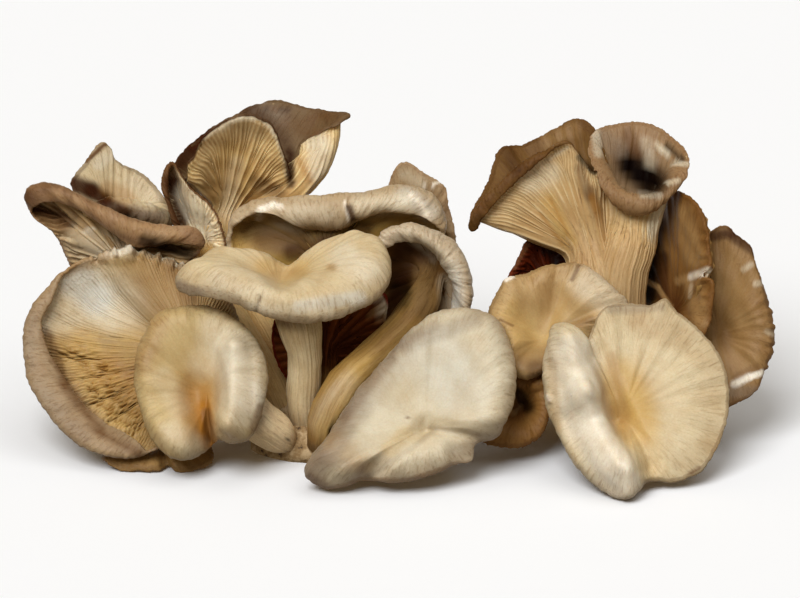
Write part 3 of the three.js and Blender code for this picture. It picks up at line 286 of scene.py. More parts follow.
            ("yellow", (-68, 124, -62, 112), 8, 0.35, "gills"),
            # the umber strokes here and below paint the shade on the back of the cap and along the edges of
            # the gill face
            ("umber", (-54, 143, -46, 142), 2.4, 0.8, "both"),
            ("pale", (-80.2, 129.6, -64.2, 138.4, -55.8, 138, -50.8, 132.8), 1.5, 0.6, "gills"),
            ("pale", (-50.8, 132.8, -46.6, 123.6), 1.7, 0.65, "gills"),
            ("pale", (-46.6, 123.6, -45.7, 115), 1.7, 0.5, "gills"),
            ("umber", (-84, 126, -80.8, 130), 3.2, 0.95, "both"),
            ("brown", (-51.6, 143, -50.4, 143), 2, 0.95, "both"),
            ("brown", (-80, 126, -78, 112), 5, 0.3, "gills"),
            ("brown", (-58, 112, -49, 108), 5, 0.6, "gills"), ("pale", (-33, 128, -31, 110), 8, 0.8, "gills"),
            ("orange", (-42, 124, -34, 108), 2, 0.5, "gills"),
            ("pale", (-70, 100, -66, 120), 5, 0.35, "gills"), ("umber", (-45, 126, -44, 112), 3, 0.9),
            ("grey", (-58, 143, -47, 139), 5, 0.5, "top"), ("umber", (-61, 142, -49, 130), 7, 0.6, "top"),
            ("brown", (-46, 137, -34, 132), 5, 0.45, "top"),
            ("bump", (-39, 129, -34, 131), 4.5, 0.9, "gills"), ("umber", (-91, 119, -80, 131), 7, 0.9, "top"),
            ("umber", (-80, 131, -70, 136.5), 3, 0.7, "top"), ("brown", (-36, 139, -26, 139), 3, 0.5, "top"),
            ("orange", (-66, 96, -62, 104), 4, 0.35, "gills"),
        ),
    ),
    "left_fold": dict(
        hub=(-80, 90, 31), up=(0.1, 0.15, 0.98), roll=(4.5, 3.5), thick=(3.4, 1.6), bend=(0.3, 0.35),
        rim=(
            (-91.5, 120.5, 21, 10, 60), (-95, 117, 21, 15, 150), (-96, 111, 22, 15, 170),
            (-94.5, 104.5, 23, 15, 170), (-92.5, 98, 24, 15, 165), (-90, 92, 26, 15, 120),
            (-85, 85, 29, 10, 20), (-77, 80.5, 29, 0, 0), (-71, 83, 28, 0, 0), (-71.5, 93, 26, 0, 0),
            (-76.2, 102.8, 25, 0, 0), (-84, 109.7, 21.5, 0, 0), (-88.8, 116.3, 20.5, 0, 20),
        ),
        stem=((-45, 16.4, 21.8, 5), (-56, 40, 24, 5.5), (-70, 62, 28, 6), (-77, 77, 30, 6.5)),
        gills=(60, 0.5, 5), margin=(0.4, 0.8), rows=GILLS_SHOWN,
        # the near black hub tone paints the shade in the cup
        tones=("2c0e03", "56270c", "7a5c3c", "fae9c1", "d1a764", "f1d395"),
        marks=(
            # the brown and umber strokes paint the shade on the curled left edge
            ("brown", (-93, 119, -91, 110), 4.5, 0.85), ("umber", (-91.5, 112, -87.5, 97), 5.5, 0.95),
            ("pale", (-86, 108, -78, 92), 7, 0.75, "gills"), ("orange", (-88, 82, -78, 84), 5, 0.9, "gills"),
            ("yellow", (-84, 88, -76, 84), 4, 0.6, "gills"),
        ),
    ),
    "left_rolled": dict(
        hub=(-112, 82, 24), up=(-0.1, 0.45, 0.89), roll=(7.2, 5.4), thick=(4.5, 1.8), bend=(0.35, 0.35),
        rim=(
            (-151, 106.5, 10, 10, 150), (-146, 111.2, 8, 10, 180), (-136, 109.6, 7, 10, 190),
            (-124, 103.6, 6, 10, 190), (-112, 97.6, 6, 10, 190), (-100, 93, 6, 10, 190),
            (-90, 92.3, 6, 10, 180), (-82, 91.5, 8, 10, 160), (-78.7, 87, 11, 10, 100), (-87, 79, 21, 10, 0),
            (-98, 69, 30, 10, 0), (-115, 67, 34, 10, 0), (-130, 76, 30, 10, 0), (-139, 92, 18, 10, 0),
            (-148, 99, 12, 10, 90),
        ),
        stem=((-55, 20.5, 33, 5), (-79, 38, 34, 5.5), (-97, 58, 30, 6), (-105, 73, 25, 7)),
        gills=(60, 1.5, 5), margin=(0.4, 0.5), rows=GILLS_SHOWN,
        tones=("a8865c", "bd9b74", "85654a", "e0c08c", "8a6638", "c7a569"),
        marks=(
            ("tan", (-140, 108, -118, 99), 3, 0.35), ("tan", (-112, 95, -90, 90), 4, 0.5),
            ("brown", (-151, 106, -140, 112), 5, 0.7), ("umber", (-152, 107, -147, 103), 5, 0.6),
            ("brown", (-142, 110, -138, 102), 2.6, 0.5), ("brown", (-134, 108, -130, 99), 2.6, 0.45),
            ("brown", (-125, 104, -121, 95), 2.6, 0.35), ("brown", (-138, 111, -104, 97), 2, 0.4),
            # the umber and dark strokes below the roll paint its shade
            ("umber", (-120, 92, -100, 87), 2.4, 0.25), ("brown", (-84, 90, -77, 90), 5, 0.35),
            ("umber", (-104, 88, -86, 84), 2.4, 0.5), ("dark", (-102, 89, -84, 83), 4, 0.8),
            ("umber", (-146, 102, -132, 96), 4, 0.7, "gills"),
            ("white", (-126, 92, -124, 93.5), 1.6, 0.8, "gills"),
            ("pale", (-130, 88, -112, 82), 10, 0.5, "gills"),
            ("brown", (-147, 100, -136, 95), 6, 0.75, "gills"),
            ("umber", (-149, 101, -134, 99), 1.6, 0.7, "gills"),
        ),
    ),
    "left_petal": dict(
        hub=(-112, 96, 32), up=(0, 0.9, 0.1), roll=(5, 4), thick=(3.6, 1.6), bend=(0.3, 0.35),
        rim=(
            (-132, 112, 29, 10, 0), (-126, 121, 33, 5, 0), (-119.5, 128.3, 37, 0, 0), (-114, 120.5, 39, 0, 0),
            (-105, 116, 41, 10, 10), (-98, 109, 40, 10, 20), (-93.5, 102.5, 36, 20, 60),
            (-92, 95, 29.3, 30, 120), (-100, 97.3, 22, 40, 150), (-109, 100.2, 20, 40, 150),
            (-117, 101, 21, 40, 120), (-126, 104, 24, 20, 40),
        ),
        stem=((-49, 24.3, 43.3, 5), (-80, 50, 47, 5.5), (-104, 78, 40, 6)),
        gills=(48, 1.3, 4), margin=(0.12, 0.5), rows=SKIN_SHOWN,
        tones=("b9a172", "d0be98", "5a3e28", "c2a473", "6f4f2c", "b5965f"),
        marks=(
            # the umber strokes along the lower edge paint the shade of its margin, rolled under
            ("umber", (-133, 112, -125, 109), 5.5, 0.95), ("umber", (-125, 109, -119, 105), 5, 0.95),
            ("umber", (-119, 105, -111, 100), 4, 0.85), ("umber", (-112, 101.5, -98, 97.5), 3, 0.6),
            ("grey", (-106, 99, -96, 99), 3, 0.6), ("orange", (-118, 110, -110, 106), 5, 0.35),
            ("pale", (-122, 120, -117, 124), 4, 0.6), ("brown", (-127, 121, -119.5, 127.5), 1.3, 0.9),
            ("pale", (-108, 113, -100, 106), 5, 0.5),
        ),
    ),
    "left_bud": dict(
        hub=(-96, 6.5, 2), up=(-0.4, 0.85, -0.3), roll=(3, 3), thick=(4.5, 1.6), bend=(0.35, 0.4),
        rim=(
            (-118, 1, -8, 30, 40), (-112, -2.3, -11, 30, 40), (-103, -3, -12, 30, 40),
            (-96, -2.7, -12, 30, 40), (-93, -0.5, -8, 20, 20), (-89, -3.2, -12, 30, 40),
            (-82, -2.8, -11, 30, 40), (-75.5, 0, -8, 30, 40), (-75, 4, 0, 20, 20), (-79, 9, 10, 20, 20),
            (-92, 10.5, 14, 20, 20), (-108, 7.5, 11, 20, 20), (-118, 3.5, 3, 20, 20),
        ),
        stem=((-56, 16.4, 21.7, 4.5), (-67, 16, 15, 4.5), (-79, 10.5, 7, 4.5)),
        gills=(36, 1, 4), margin=(0.3, 0.6), rows=HALF_HIDDEN,
        tones=("a5824e", "a88550", "7c603a", "a88252", "50381f", "967244"),
    ),
    "inner_bud": dict(
        hub=(-30, 46, 17), up=(0, 0.2, 0.97), roll=(4, 4), thick=(6, 1.6), bend=(0.3, 0.4),
        rim=(
            (-50, 42, 17, 10, 10), (-50, 57, 16, 10, 10), (-40, 66, 15, 10, 10), (-22, 67, 13, 10, 10),
            (-6, 67, 12, 10, 10), (-6, 57, 13, 10, 10), (-11, 42, 16, 10, 10), (-24, 31, 19, 10, 10),
            (-42, 31, 19, 10, 10),
        ),
        stem=((-33, 16, 20.8, 5), (-32.5, 24, 18, 5), (-31.5, 35, 14, 5.5)),
        gills=(36, 1, 4), margin=(0.3, 0.6), rows=HALF_HIDDEN,
        # the dark red-brown tones paint the shade of the gap that this cap fills
        tones=("7a2a10", "822c10", "6a1c0a", "804316", "310c03", "754b24"),
        marks=(
            ("pale", (-9, 66, -4.5, 58), 2.6, 0.9, "both"), ("tan", (-10, 60, -6, 57), 3, 0.6, "both"),
            ("yellow", (-31, 26, -30, 32), 3, 0.5, "both"),
        ),
    ),
    "centre_flap": dict(
        hub=(5, 94, 43), up=(0.1, -0.2, -0.97), roll=(4, 4), thick=(6, 1.6), bend=(0.35, 0.4),
        rim=(
            (-6, 104, 40, 10, 0), (-4, 112, 36, 10, 0), (-1, 118.5, 34, 10, 0), (2.5, 120, 34, 10, 10),
            (10, 115.8, 34, 20, 30), (18, 110, 34, 20, 20), (19.5, 102, 34, 20, 30), (22.3, 90, 34, 20, 40),
            (20, 81, 37, 20, 20), (8, 78, 46, 10, 0), (-6, 84, 48, 10, 0), (-10, 94, 46, 10, 0),
        ),
        stem=((-12, 19, 29, 5.5), (-8, 44, 46, 6), (2, 72, 53, 6.5)),
        gills=(40, 1.3, 5), margin=(0.3, 0.6), rows=HALF_HIDDEN,
        tones=("aa8854", "b49c78", "9a7c5a", "a17c40", "4a2c0e", "cba765"),
        marks=(
            ("white", (8, 110, 16, 112.5), 0.8, 0.9), ("brown", (10, 108, 20, 101), 4, 0.35),
            ("pale", (2, 116, 8, 112), 4, 0.5), ("tan", (16, 96, 20, 86), 5, 0.35),
        ),
    ),
    "right_fan": dict(
        hub=(89, 21, -25), up=(0.1, 0.4, -0.9), roll=(5, 5), thick=(7, 2), bend=(0.35, 0.45),
        rim=(
            (61, 53, -13, 60, 60), (58.5, 43, -14, 70, 60), (58, 32, -16, 75, 60), (60.5, 20, -19, 75, 60),
            (65, 10, -22, 75, 60), (70, 0, -27, 75, 60), (77, -8, -32, 70, 60), (84, -12.5, -38, 60, 60),
            (89.5, -14, -41.5, 60, 60), (94.5, -11, -39, 55, 55), (98, -7, -34.5, 40, 35),
            (102, -6.5, -32, 20, 20), (108, -7, -31, 10, 20), (114, -5, -30.5, 10, 10),
            (118.5, -3, -30, 10, 10), (124, 4, -27, 10, 10), (128.5, 14, -23, 10, 10),
            (130.5, 24, -19, 10, 10), (129.5, 36, -15, 10, 10), (125, 46, -11, 10, 10), (118, 54, -8, 10, 10),
            (110, 60.5, -6, 10, 10), (106, 65, -5, 5, 0), (100, 62.7, -6, 10, 10), (90, 63.3, -6, 10, 10),
            (81, 61, -9, 15, 10), (77, 54, -13, 20, 10), (74.5, 49, -16, 30, 10), (70, 52.5, -16, 50, 30),
            (65, 54.5, -14, 60, 50),
        ),
        folds=(
            ((66, 47, 72, 24), 10, 7), ((72, 24, 84, -2), 10, 7), ((79, 44, 87, 20), 7, -4),
            ((87, 20, 98, 0), 7, -4),
        ),
        stem=((88, 13.7, 14.2, 6), (88, 17, 0, 7.5), (87, 20, -11, 8.5)),
        gills=(56, 0.6, 5), margin=(0.25, 0.6), rows=SKIN_SHOWN,
        tones=("a8864e", "d6c6a2", "866f4e", "c9ad74", "6e4a20", "b4955f"),
        marks=(
            # the white and pale strokes paint the highlight on the left lobe
            ("white", (68, 42, 74, 16), 13, 0.8), ("white", (75, 14, 87, -7), 11, 0.8),
            # the two narrow tan strokes in the valley beside the lobe paint its shade
            ("tan", (78, 36, 86, 14), 4, 0.4), ("pale", (66, 44, 76, 10), 14, 0.4),
            ("yellow", (96, 28, 100, 0), 9, 0.25), ("yellow", (88, 34, 94, 14), 12, 0.6),
            ("tan", (84, 42, 90, 12), 4, 0.5), ("tan", (96, 56, 112, 50), 9, 0.4),
            ("grey", (84, 61, 104, 62), 3, 0.5), ("tan", (122, 42, 124, 8), 8, 0.2),
            ("tan", (112, 2, 122, 6), 7, 0.2), ("brown", (115, -3.5, 118.4, -1.5), 1.4, 0.7),
            ("white", (58.6, 26.5, 59.5, 25.2), 1.3, 0.9), ("bump", (59, 27, 59.6, 25), 1.4, 1),
            ("bump", (74, 33.5, 77, 30), 6.5, 1.1, "top"), ("bump", (69, 28, 69, 24), 5, 0.6, "top"),
            ("tan", (60, 40, 62, 14), 3, 0.4),
        ),
    ),
    "right_shelf": dict(
        hub=(58, 52, 0), up=(-0.1, 0.45, -0.88), roll=(5, 5), thick=(6, 2), bend=(0.5, 0.4),
        rim=(
            (35, 57, 0, 45, 40), (40, 70, 2, 35, 30), (43, 73.5, 3, 30, 10), (50, 75.3, 5, 30, 20),
            (60, 79, 5, 30, 20), (67, 80, 4, 20, 10), (73, 79, 3, 20, 10), (80, 74.5, 2, 25, 30),
            (86, 69, 1.5, 25, 40), (91, 64, 1, 25, 20), (86, 58, -1, 30, 10), (78, 52, -2, 30, 0),
            (72, 44, -2, 40, 20), (65, 39, -3, 55, 50), (58, 36, -4, 75, 60), (52, 34, -5, 85, 60),
            (47, 35.5, -5, 80, 60), (44, 42, -5, 65, 60), (40, 50, -2, 50, 50),
        ),
        folds=(((64, 76, 56, 50), 8, -2.5),),
        stem=((76, 15.7, 19.9, 5.5), (69, 28, 14, 6), (62, 39, 10, 7)),
        gills=(40, 1.4, 5), margin=(0.3, 0.6), rows=SKIN_SHOWN,
        tones=("c3a770", "bb9c6a", "8c7048", "b08a4e", "5e3c18", "a98a54"),
        marks=(
            # the pale stroke at the right paints a highlight
            ("pale", (74, 72, 86, 64), 10, 0.55), ("brown", (68.5, 73, 71.5, 78.5), 1.1, 0.7),
            ("dent", (68, 72, 72, 78.5), 1.8, 0.7), ("white", (42.5, 72.6, 45, 74), 1.2, 0.9),
            # the umber stroke here and the brown one below paint the shade along the bottom, above the bud
            # below, and the tan stroke below paints the shade of the valley
            ("yellow", (44, 60, 50, 46), 8, 0.4), ("umber", (54, 37, 66, 37), 6, 0.6),
            ("brown", (50, 42, 67, 42), 8, 0.4), ("tan", (60, 74, 57, 54), 4, 0.45),
            ("brown", (40, 57, 45, 54.5), 0.8, 0.6), ("brown", (62, 53, 76, 57), 3, 0.45),
        ),
    ),
    "right_trumpet": dict(
        hub=(78, 85, 20), up=(-0.25, 0.9, 0.2), roll=(5, 4), thick=(4, 1.6), bend=(0.15, 0.3),
        rim=(
            (27.5, 95, 8, 0, 130), (31, 102, 5, 5, 150), (39, 111, 3, 5, 150), (48, 119, 3, 5, 150),
            (58, 125, 4, 5, 120), (67, 128.5, 6, 0, 50), (71.5, 123.5, 7, 0, 20), (77, 116.5, 9, 0, 10),
            (82, 119, 17, 0, 10), (79, 130, 27, 0, 20), (76, 135.5, 31, 0, 40), (71, 138, 34, 0, 40),
            (62, 133.5, 37, 0, 20), (50, 127.5, 38, 0, 10), (42, 126.5, 34, 0, 0), (36, 112, 26, -5, 0),
            (29, 100, 16, -5, 40),
        ),
        stem=((87, 19.1, 30, 8), (84, 40, 25, 10), (80.5, 56, 21, 12), (79, 68, 19.5, 12.5)),
        gills=(130, 0.6, 5), margin=(0.35, 0.7), rows=GILLS_SHOWN, decurrent=0.4, fade=0.35, furrow=0.35,
        # the near black hub tone paints the shade deep in the trumpet
        tones=("2c1608", "79592d", "60411d", "e5cc9c", "b0864b", "c3a476"),
        marks=(
            ("pale", (52, 112, 60, 116), 7, 0.5, "gills"), ("yellow", (60, 104, 68, 88), 5, 0.55, "gills"),
            ("orange", (56, 100, 66, 86), 1.2, 0.45, "gills"),
            ("orange", (60, 106, 68, 90), 1.2, 0.4, "gills"), ("brown", (72, 118, 76, 106), 3, 0.6, "gills"),
            ("brown", (76, 108, 80, 98), 4, 0.45, "gills"), ("orange", (77, 106, 79, 101), 2.5, 0.5, "gills"),
            ("pale", (46, 113, 67, 126), 1.2, 0.5, "gills"), ("brown", (30, 99, 36, 106), 3, 0.5, "top"),
            ("brown", (40, 110, 56, 122), 2.4, 0.5, "top"), ("tan", (60, 130, 70, 134), 5, 0.5, "top"),
            # the umber and dark strokes paint the shade in the mouth and at the left end
            ("umber", (44, 124, 46, 118), 5, 0.5, "top"), ("dark", (72, 122, 78, 116), 2.2, 0.75),
            ("dark", (29, 94, 32, 97), 4, 0.4),
        ),
    ),
    "right_twin": dict(
        hub=(93, 91, 17), up=(0.1, 0.95, 0.15), roll=(5.5, 4.5), thick=(4, 1.6), bend=(0.3, 0.32),
        rim=(
            (79.5, 116, 9, 20, 110), (84, 108.5, 5, 30, 160), (91, 104.5, 2, 30, 170),
            (99, 103.3, 0, 30, 170), (106, 106, 2, 30, 160), (111.5, 111.5, 5, 30, 130),
            (116, 118.5, 10, 20, 80), (113.5, 125.5, 17, 5, 10), (109, 130, 23, 5, 0), (103, 134.5, 27, 5, 0),
            (96, 136.5, 29, 5, 10), (88, 135.5, 29, 5, 10), (80.5, 133.5, 26, 0, 30), (76.5, 128, 19, 0, 70),
            (77, 121, 13, 10, 90),
        ),
        stem=(
            (91, 19.8, 32, 8), (89, 40, 26, 9.5), (88, 62, 19, 10.5), (89, 76, 16, 10.5), (91, 83, 16, 10.5),
        ),
        gills=(96, 0.5, 5), margin=(0.3, 0.55), rows=GILLS_SHOWN, decurrent=0.4, furrow=0.35,
        # the near black hub tone paints the shade in the hole
        tones=("050201", "a0835f", "8b6943", "eed29e", "be9657", "c3a476"),
        marks=(
            # the umber and dark strokes inside paint the shade of the hole, and the pale one beside them a
            # highlight on its wall
            ("umber", (92, 122, 101, 114), 12, 0.65, "inside"),
            ("dark", (93, 119, 101, 112.5), 9, 1, "inside"), ("pale", (99, 128, 101, 120), 4, 0.35, "inside"),
            ("grey", (82, 130, 88, 126), 6, 0.5, "top"), ("pale", (79, 132, 80, 124), 3, 0.5),
            ("brown", (92, 132, 96, 124), 4, 0.55, "top"), ("pale", (104, 127, 107.5, 123.5), 2.2, 0.7),
            ("dark", (108, 127, 113, 121.5), 2.4, 0.7), ("pale", (110, 119.8, 115, 119.5), 1.8, 0.6),
            ("pale", (107.5, 111.6, 111.5, 112.6), 1.6, 0.6), ("pale", (97, 106.5, 104, 107), 2, 0.35),
            ("pale", (106, 104, 101, 92), 5, 0.75, "gills"), ("tan", (84, 106, 86, 96), 3, 0.5, "gills"),
        ),
    ),
    "right_side": dict(
        hub=(110, 60, 15), up=(-0.45, 0.35, -0.82), roll=(4, 4), thick=(6, 1.8), bend=(0.3, 0.35),
        rim=(
            (109.3, 107.5, 20.5, 0, 0), (113.5, 107, 9, 0, 20), (119, 102, 1, 0, 20), (122, 94, -1, 0, 20),
            (123, 85, -2, 0, 20), (123.5, 78, -3, 0, 20), (120.5, 75, -2, 0, 10), (124, 72, -4, 0, 20),
            (124.5, 64, -4, 10, 40), (122, 53, -4, 10, 40), (116, 46, -3, 10, 20), (108, 45, 4, 10, 0),
            (101, 50, 19, 10, 0), (95.5, 62, 33, 0, 0), (95.5, 76, 35, 0, 0), (98.8, 88, 33.5, 0, 0),
            (104, 98.5, 29.5, 0, 0),
        ),
        stem=((102, 15, 18, 5.5), (104, 30, 20, 5.5), (107, 45, 20, 6)),
        gills=(40, 1.3, 5), margin=(0.3, 0.6), rows=SKIN_SHOWN,
        tones=("4a2a0e", "866031", "704a20", "b08a4e", "3a2410", "8a6a3a"),
        marks=(
            # the dark and umber strokes paint the shade on the left side
            ("dark", (101, 88, 101, 66), 5, 0.95), ("dark", (104, 96, 102, 86), 4, 0.8),
            ("umber", (106, 82, 106, 66), 4, 0.8), ("tan", (113, 100, 118, 82), 6, 0.6),
            ("tan", (118, 70, 120, 56), 5, 0.6), ("frill", (121.5, 92, 122, 62), 2.4, 0.7, "both"),
            ("pale", (117, 71, 116.4, 66), 1, 0.3), ("tan", (112, 72.5, 118, 74.4), 2.4, 0.6),
            ("white", (117, 74.2, 123, 76.5), 2, 0.7), ("tan", (97, 74, 104, 70), 1.6, 0.8),
            ("tan", (104, 70, 109.5, 61), 1.6, 0.7),
        ),
    ),
    "right_outer": dict(
        hub=(128, 52, 12), up=(0.45, 0.25, -0.85), roll=(4, 4), thick=(6, 1.8), bend=(0.35, 0.4),
        rim=(
            (123, 90, 18, 10, 0), (131, 94.5, 16, 10, 10), (135, 91, 14, 10, 10), (141, 86, 13, 20, 20),
            (143, 79, 11, 30, 30), (147, 67, 9, 30, 40), (150, 55, 8, 30, 40), (149.5, 44, 7, 30, 40),
            (146, 36, 6, 30, 30), (143, 29, 5, 20, 20), (136, 24.5, 4, 10, 10), (130, 22.5, 4, 10, 10),
            (123, 28, 7, 10, 0), (119, 40, 12, 10, 0), (118, 55, 16, 10, 0), (118, 72, 19, 10, 0),
            (120, 84, 20, 10, 0),
        ),
        stem=((108, 18.8, 28.3, 5.5), (116, 27, 27, 6), (122, 38, 23, 6.5)),
        gills=(40, 1.3, 5), margin=(0.3, 0.7), rows=SKIN_SHOWN,
        tones=("7a5a30", "9b7a4c", "6f5030", "b08a4e", "3a2410", "8a6a3a"),
        marks=(
            ("pale", (138, 77, 141, 79), 1.8, 0.45), ("pale", (142.6, 71.2, 145, 71.6), 1.8, 0.45),
            ("pale", (147, 52.2, 150, 51), 1.8, 0.35), ("white", (134, 31, 140, 34), 2.2, 0.9),
            # the brown stroke paints the shadow above the white tear
            ("white", (140, 34, 145, 35.6), 1.8, 0.9), ("brown", (135, 34, 143, 38), 2.4, 0.4),
            ("grey", (130, 28, 142, 28), 4, 0.5), ("frill", (150, 66, 148, 38), 3, 0.6, "both"),
            ("umber", (124, 90, 134, 92), 3.4, 0.8), ("umber", (134, 90, 144, 83), 3.2, 0.75),
        ),
    ),
    "right_back_bud": dict(
        hub=(56, 78, 24), up=(-0.2, 0.3, 0.93), roll=(3, 3), thick=(5, 1.6), bend=(0.3, 0.4),
        rim=(
            (43.5, 73, 18, 10, 20), (47.5, 81.5, 19, 10, 20), (51, 88.5, 21, 10, 20), (57, 87, 28, 10, 0),
            (65, 84, 34, 10, 0), (66, 74, 33, 10, 0), (58, 66, 23, 10, 0), (48, 66, 18, 10, 10),
        ),
        stem=((74, 22.5, 38.7, 5), (68, 42, 36, 5.5), (60, 62, 26, 6)),
        gills=(32, 1, 4), margin=(0.3, 0.6), rows=HALF_HIDDEN,
        # the dark tones paint this cap in the shade it lies in
        tones=("6a2c0c", "6e2c0c", "66280a", "531d08", "220a02", "4a2c12"),
        marks=(("brown", (46, 78, 52, 89), 1.6, 0.6, "both"),),
    ),
    "right_low_bud": dict(
        hub=(48, 22, 4), up=(0, 0.5, -0.86), roll=(3, 3), thick=(5, 1.6), bend=(0.35, 0.4),
        rim=(
            (57.5, 32, -1, 40, 40), (60, 22, -4, 40, 40), (56.5, 11, -6, 40, 40), (49, 6.3, -7, 40, 40),
            (40, 6.3, -8, 40, 40), (33, 9, -8, 30, 20), (34, 16, -6, 20, 0), (38, 24, -2, 20, 0),
            (44, 31, 2, 20, 0), (52, 34, 2, 20, 0),
        ),
        stem=((64, 26, 31, 4.5), (59, 27, 22, 4.5), (52, 25, 12, 5)),
        gills=(32, 1, 4), margin=(0.3, 0.6), rows=HALF_HIDDEN,
        tones=("603915", "9f753e", "714d26", "a67f46", "462b13", "926c3a"),
        marks=(
            # the dark stroke paints the shade in the hollow, and the umber one the shade along the top edge
            ("dark", (47, 28, 51, 22), 4, 0.85), ("bump", (47, 32, 58, 32), 4.5, 2.8, "both"),
            ("umber", (52, 36, 58, 35), 3, 0.6, "both"), ("tan", (38, 18.6, 46, 20), 1.6, 0.8),
        ),
    ),
}

# sRGB colours of the strokes that the marks lay on the mushrooms. The bluish white stroke is a painted
# highlight, and white and pale are partly pale torn flesh and partly painted highlights. dark is painted
# shade in hollows, gaps and cracks, and umber is painted shade for the most part, under rolls, along lower
# edges and inside funnels. brown and orange are partly the flesh's own colours and partly painted shade.
# The other colours are mostly the flesh's own, but some strokes of them paint shade in valleys, creases
# and under caps, as the mushrooms' own comments say.
STROKES = {
    "white": "fbf4e4", "pale": "dfd5bc", "blue": "d3d5cf", "yellow": "cfab62", "tan": "a88656",
    "orange": "a8711f", "brown": "6b4a2b", "umber": "3a1d0c", "dark": "0c0402", "grey": "8a7a68",
    "olive": "6e5532",
}
EARTH = "7d5a32"  # sRGB colour of the stems' feet
RELIEF = {"bump": 1, "dent": -1, "frill": 1}  # marks that lift or lower the surface

LEAST_ROLL = 14  # degrees
LIP = 1.35  # thickness just inside the margin, in edge thicknesses
THIN_POWER = 1.5  # how fast the flesh thins from the hub
LIP_ANGLES = (35, 90, 145)  # degrees round the margin's edge, from the skin to the gill side
MARGIN_STEPS = 40  # points of the smooth margin from one margin point to the next
STEM_STEPS = 24  # the same for a stem's path
EVEN_SHARE = 0.3  # how much of a stem's turn is even, and the rest follows the cap's columns
JOINT = 1.6  # the cap bends into the stem this many stem radii from the hub
JOINT_REACH = (0.06, 0.6)  # least and most share of the cap that the joint takes
FLARE_PULL = 0.45  # how long the flare keeps its direction at both ends, in parts of its length
SLOPE_STEP = 1e-3  # reach over which the skin's slope from hub to margin is taken
SLOPE_PARTS = 160  # parts of the turn, and the slope round it is taken over one part to each side
FLARE_STEP = 0.04  # reach over which the direction into the flare is taken
HUB_POWER = 0.85  # below 1 the rows of the skin stand wider by the hub
DECURRENT = 0.5  # share of the stem
FURROW = 0.18  # mm, and the share of the colour between gills, painted shade, that a furrow's valley takes
FRILL_WAVE = 5.5  # mm from one long wave of a frill to the next
FRILL_WAVES = ((0.6, 1, 0), (0.4, 1.7, 1))  # share of the height, how much quicker than that, and phase
MAP_STEP = 100  # mm round the margin for each 1 in the UV map
LUMP = 0.35  # mm, height of the soft swells
LUMP_WAVES = ((0.31, 0.23), (0.27, -0.35))  # radians for each mm along x and z, and along y and z
WANDER = ((0.006, 5, 1), (0.003, 17, 2))  # turns to each side, radians for each 1 of reach, times the seed
BLADE_POWER = 1.2  # how steeply a gill falls away from its edge
ROLL_GILLS = (0.25, 0.7)  # height of the gills at the margin and where the roll starts, in full heights
CAP_GILLS = (0.8, 0.2)  # their height at the hub, and how much more they have half way to the roll
STEM_GILLS = 0.8  # their height at the top of the flare
HIGHEST_GILL = 0.9  # the most a gill stands up, in parts of the gap to the next one
LEAST_GAP = 0.2  # mm, taken where the gap is narrower
SOFT_TONE = 0.7  # how near an edge's colour flattened gills are, from 0 to 1
CUTS = 6.5  # cuts through a torn gill from hub to margin
CUT_SHIFT = 0.31  # how far a gill's cuts are moved on from the last gill's, where 1 is from cut to cut
CUT_WAVE = (0.4, 1.9)  # a sine on top of that: its height, and radians from gill to gill
CUT_SIDES = (0.15, 0.5)  # heights of the cuts' wave, from 0 to 1, where a gill is cut down and is whole
PIT_SIDES = (0.05, 0.55)  # nearness to a blade's edge, from 0 to 1, where a pit is full and ends
BETWEEN_GILLS = 0.35  # how much of the edges' colour there is between two gills; the rest is the darker colour that paints the grooves' shade
PIT_SHADE = 0.42  # share of brown painted as shade in the pits of crumpled gills
MARGIN_SHADE = 0.5  # the margin's colour on the gill side, in parts of its strength on the skin
EARTH_SHADE = 0.6  # share of earth on a stem's foot
SOFT_CORE = 0.6  # share of a crisp or soft mark's width that has its full strength
WHITE_CORE = 0.35  # the same for white strokes
COLOUR_CORE = 0.25  # and for all the other marks
STEM_FIBRE = 0.8  # how fibrous the stems are, where 1 is the cap's margin
FACING = (-0.1, 0.25)  # cosines of the angle to the front between which the marks that face it come in

# Reaches between which one thing turns into another: 0 at the hub, 1 where the roll starts, 2 at the margin
HUB_TO_SKIN = (0.05, 0.55)
MARGIN_TONE_FULL = 1.45
SECOND_GILLS = (0.18, 0.42)  # the gills half way between two long ones rise
SHORT_GILLS = (0.45, 0.72)  # and the short ones
FADING = (0.5, 0.95)  # faded gills lose their height
GILLS_TO_MARGIN = (1.1, 2.0)
SMOOTH_TO_FIBROUS = (0.3, 1.1)
CAP_TO_ROLL = (0.8, 1.0)
# and the same down the flare, from 0 to 1, and down the stem, from 1 to 2
GILLS_RUN_OUT = 0.2
GILLS_TO_STEM = (0.3, 1.3)
CAP_TO_FURROWS = (0.1, 0.7)
STEM_TO_FOOT = (1.75, 2.0)

# Ripples round a mushroom: how high they are, and how many waves each has round the turn. The living margin
# is never a clean curve: it is ragged outward and wavy up and down.
RAGGED = (0.35, (23, 37, 52, 71, 96))  # mm
WAVY = (0.7, (9, 13, 17, 26, 33))  # mm
UNEVEN_DIVE = (1.3, (11, 16, 24))  # degrees
UNEVEN_TONE = (0.05, (5, 8, 13, 21))  # reach
FIBRES = (1.0, (11, 17, 26, 37))

SKIN, EDGE, GILLS, FLARE, STEM = range(5)  # what a row of points belongs to

Mark = namedtuple("Mark", "kind line width strength side")


# ---------------------------------------------------------------- numbers

def linear(hex_colour):
    """An sRGB hex colour as linear red, green and blue."""
    c = np.array([int(hex_colour[i:i + 2], 16) / 255 for i in (0, 2, 4)])
    return np.where(c <= 0.04045, c / 12.92, ((c + 0.055) / 1.055) ** 2.4)


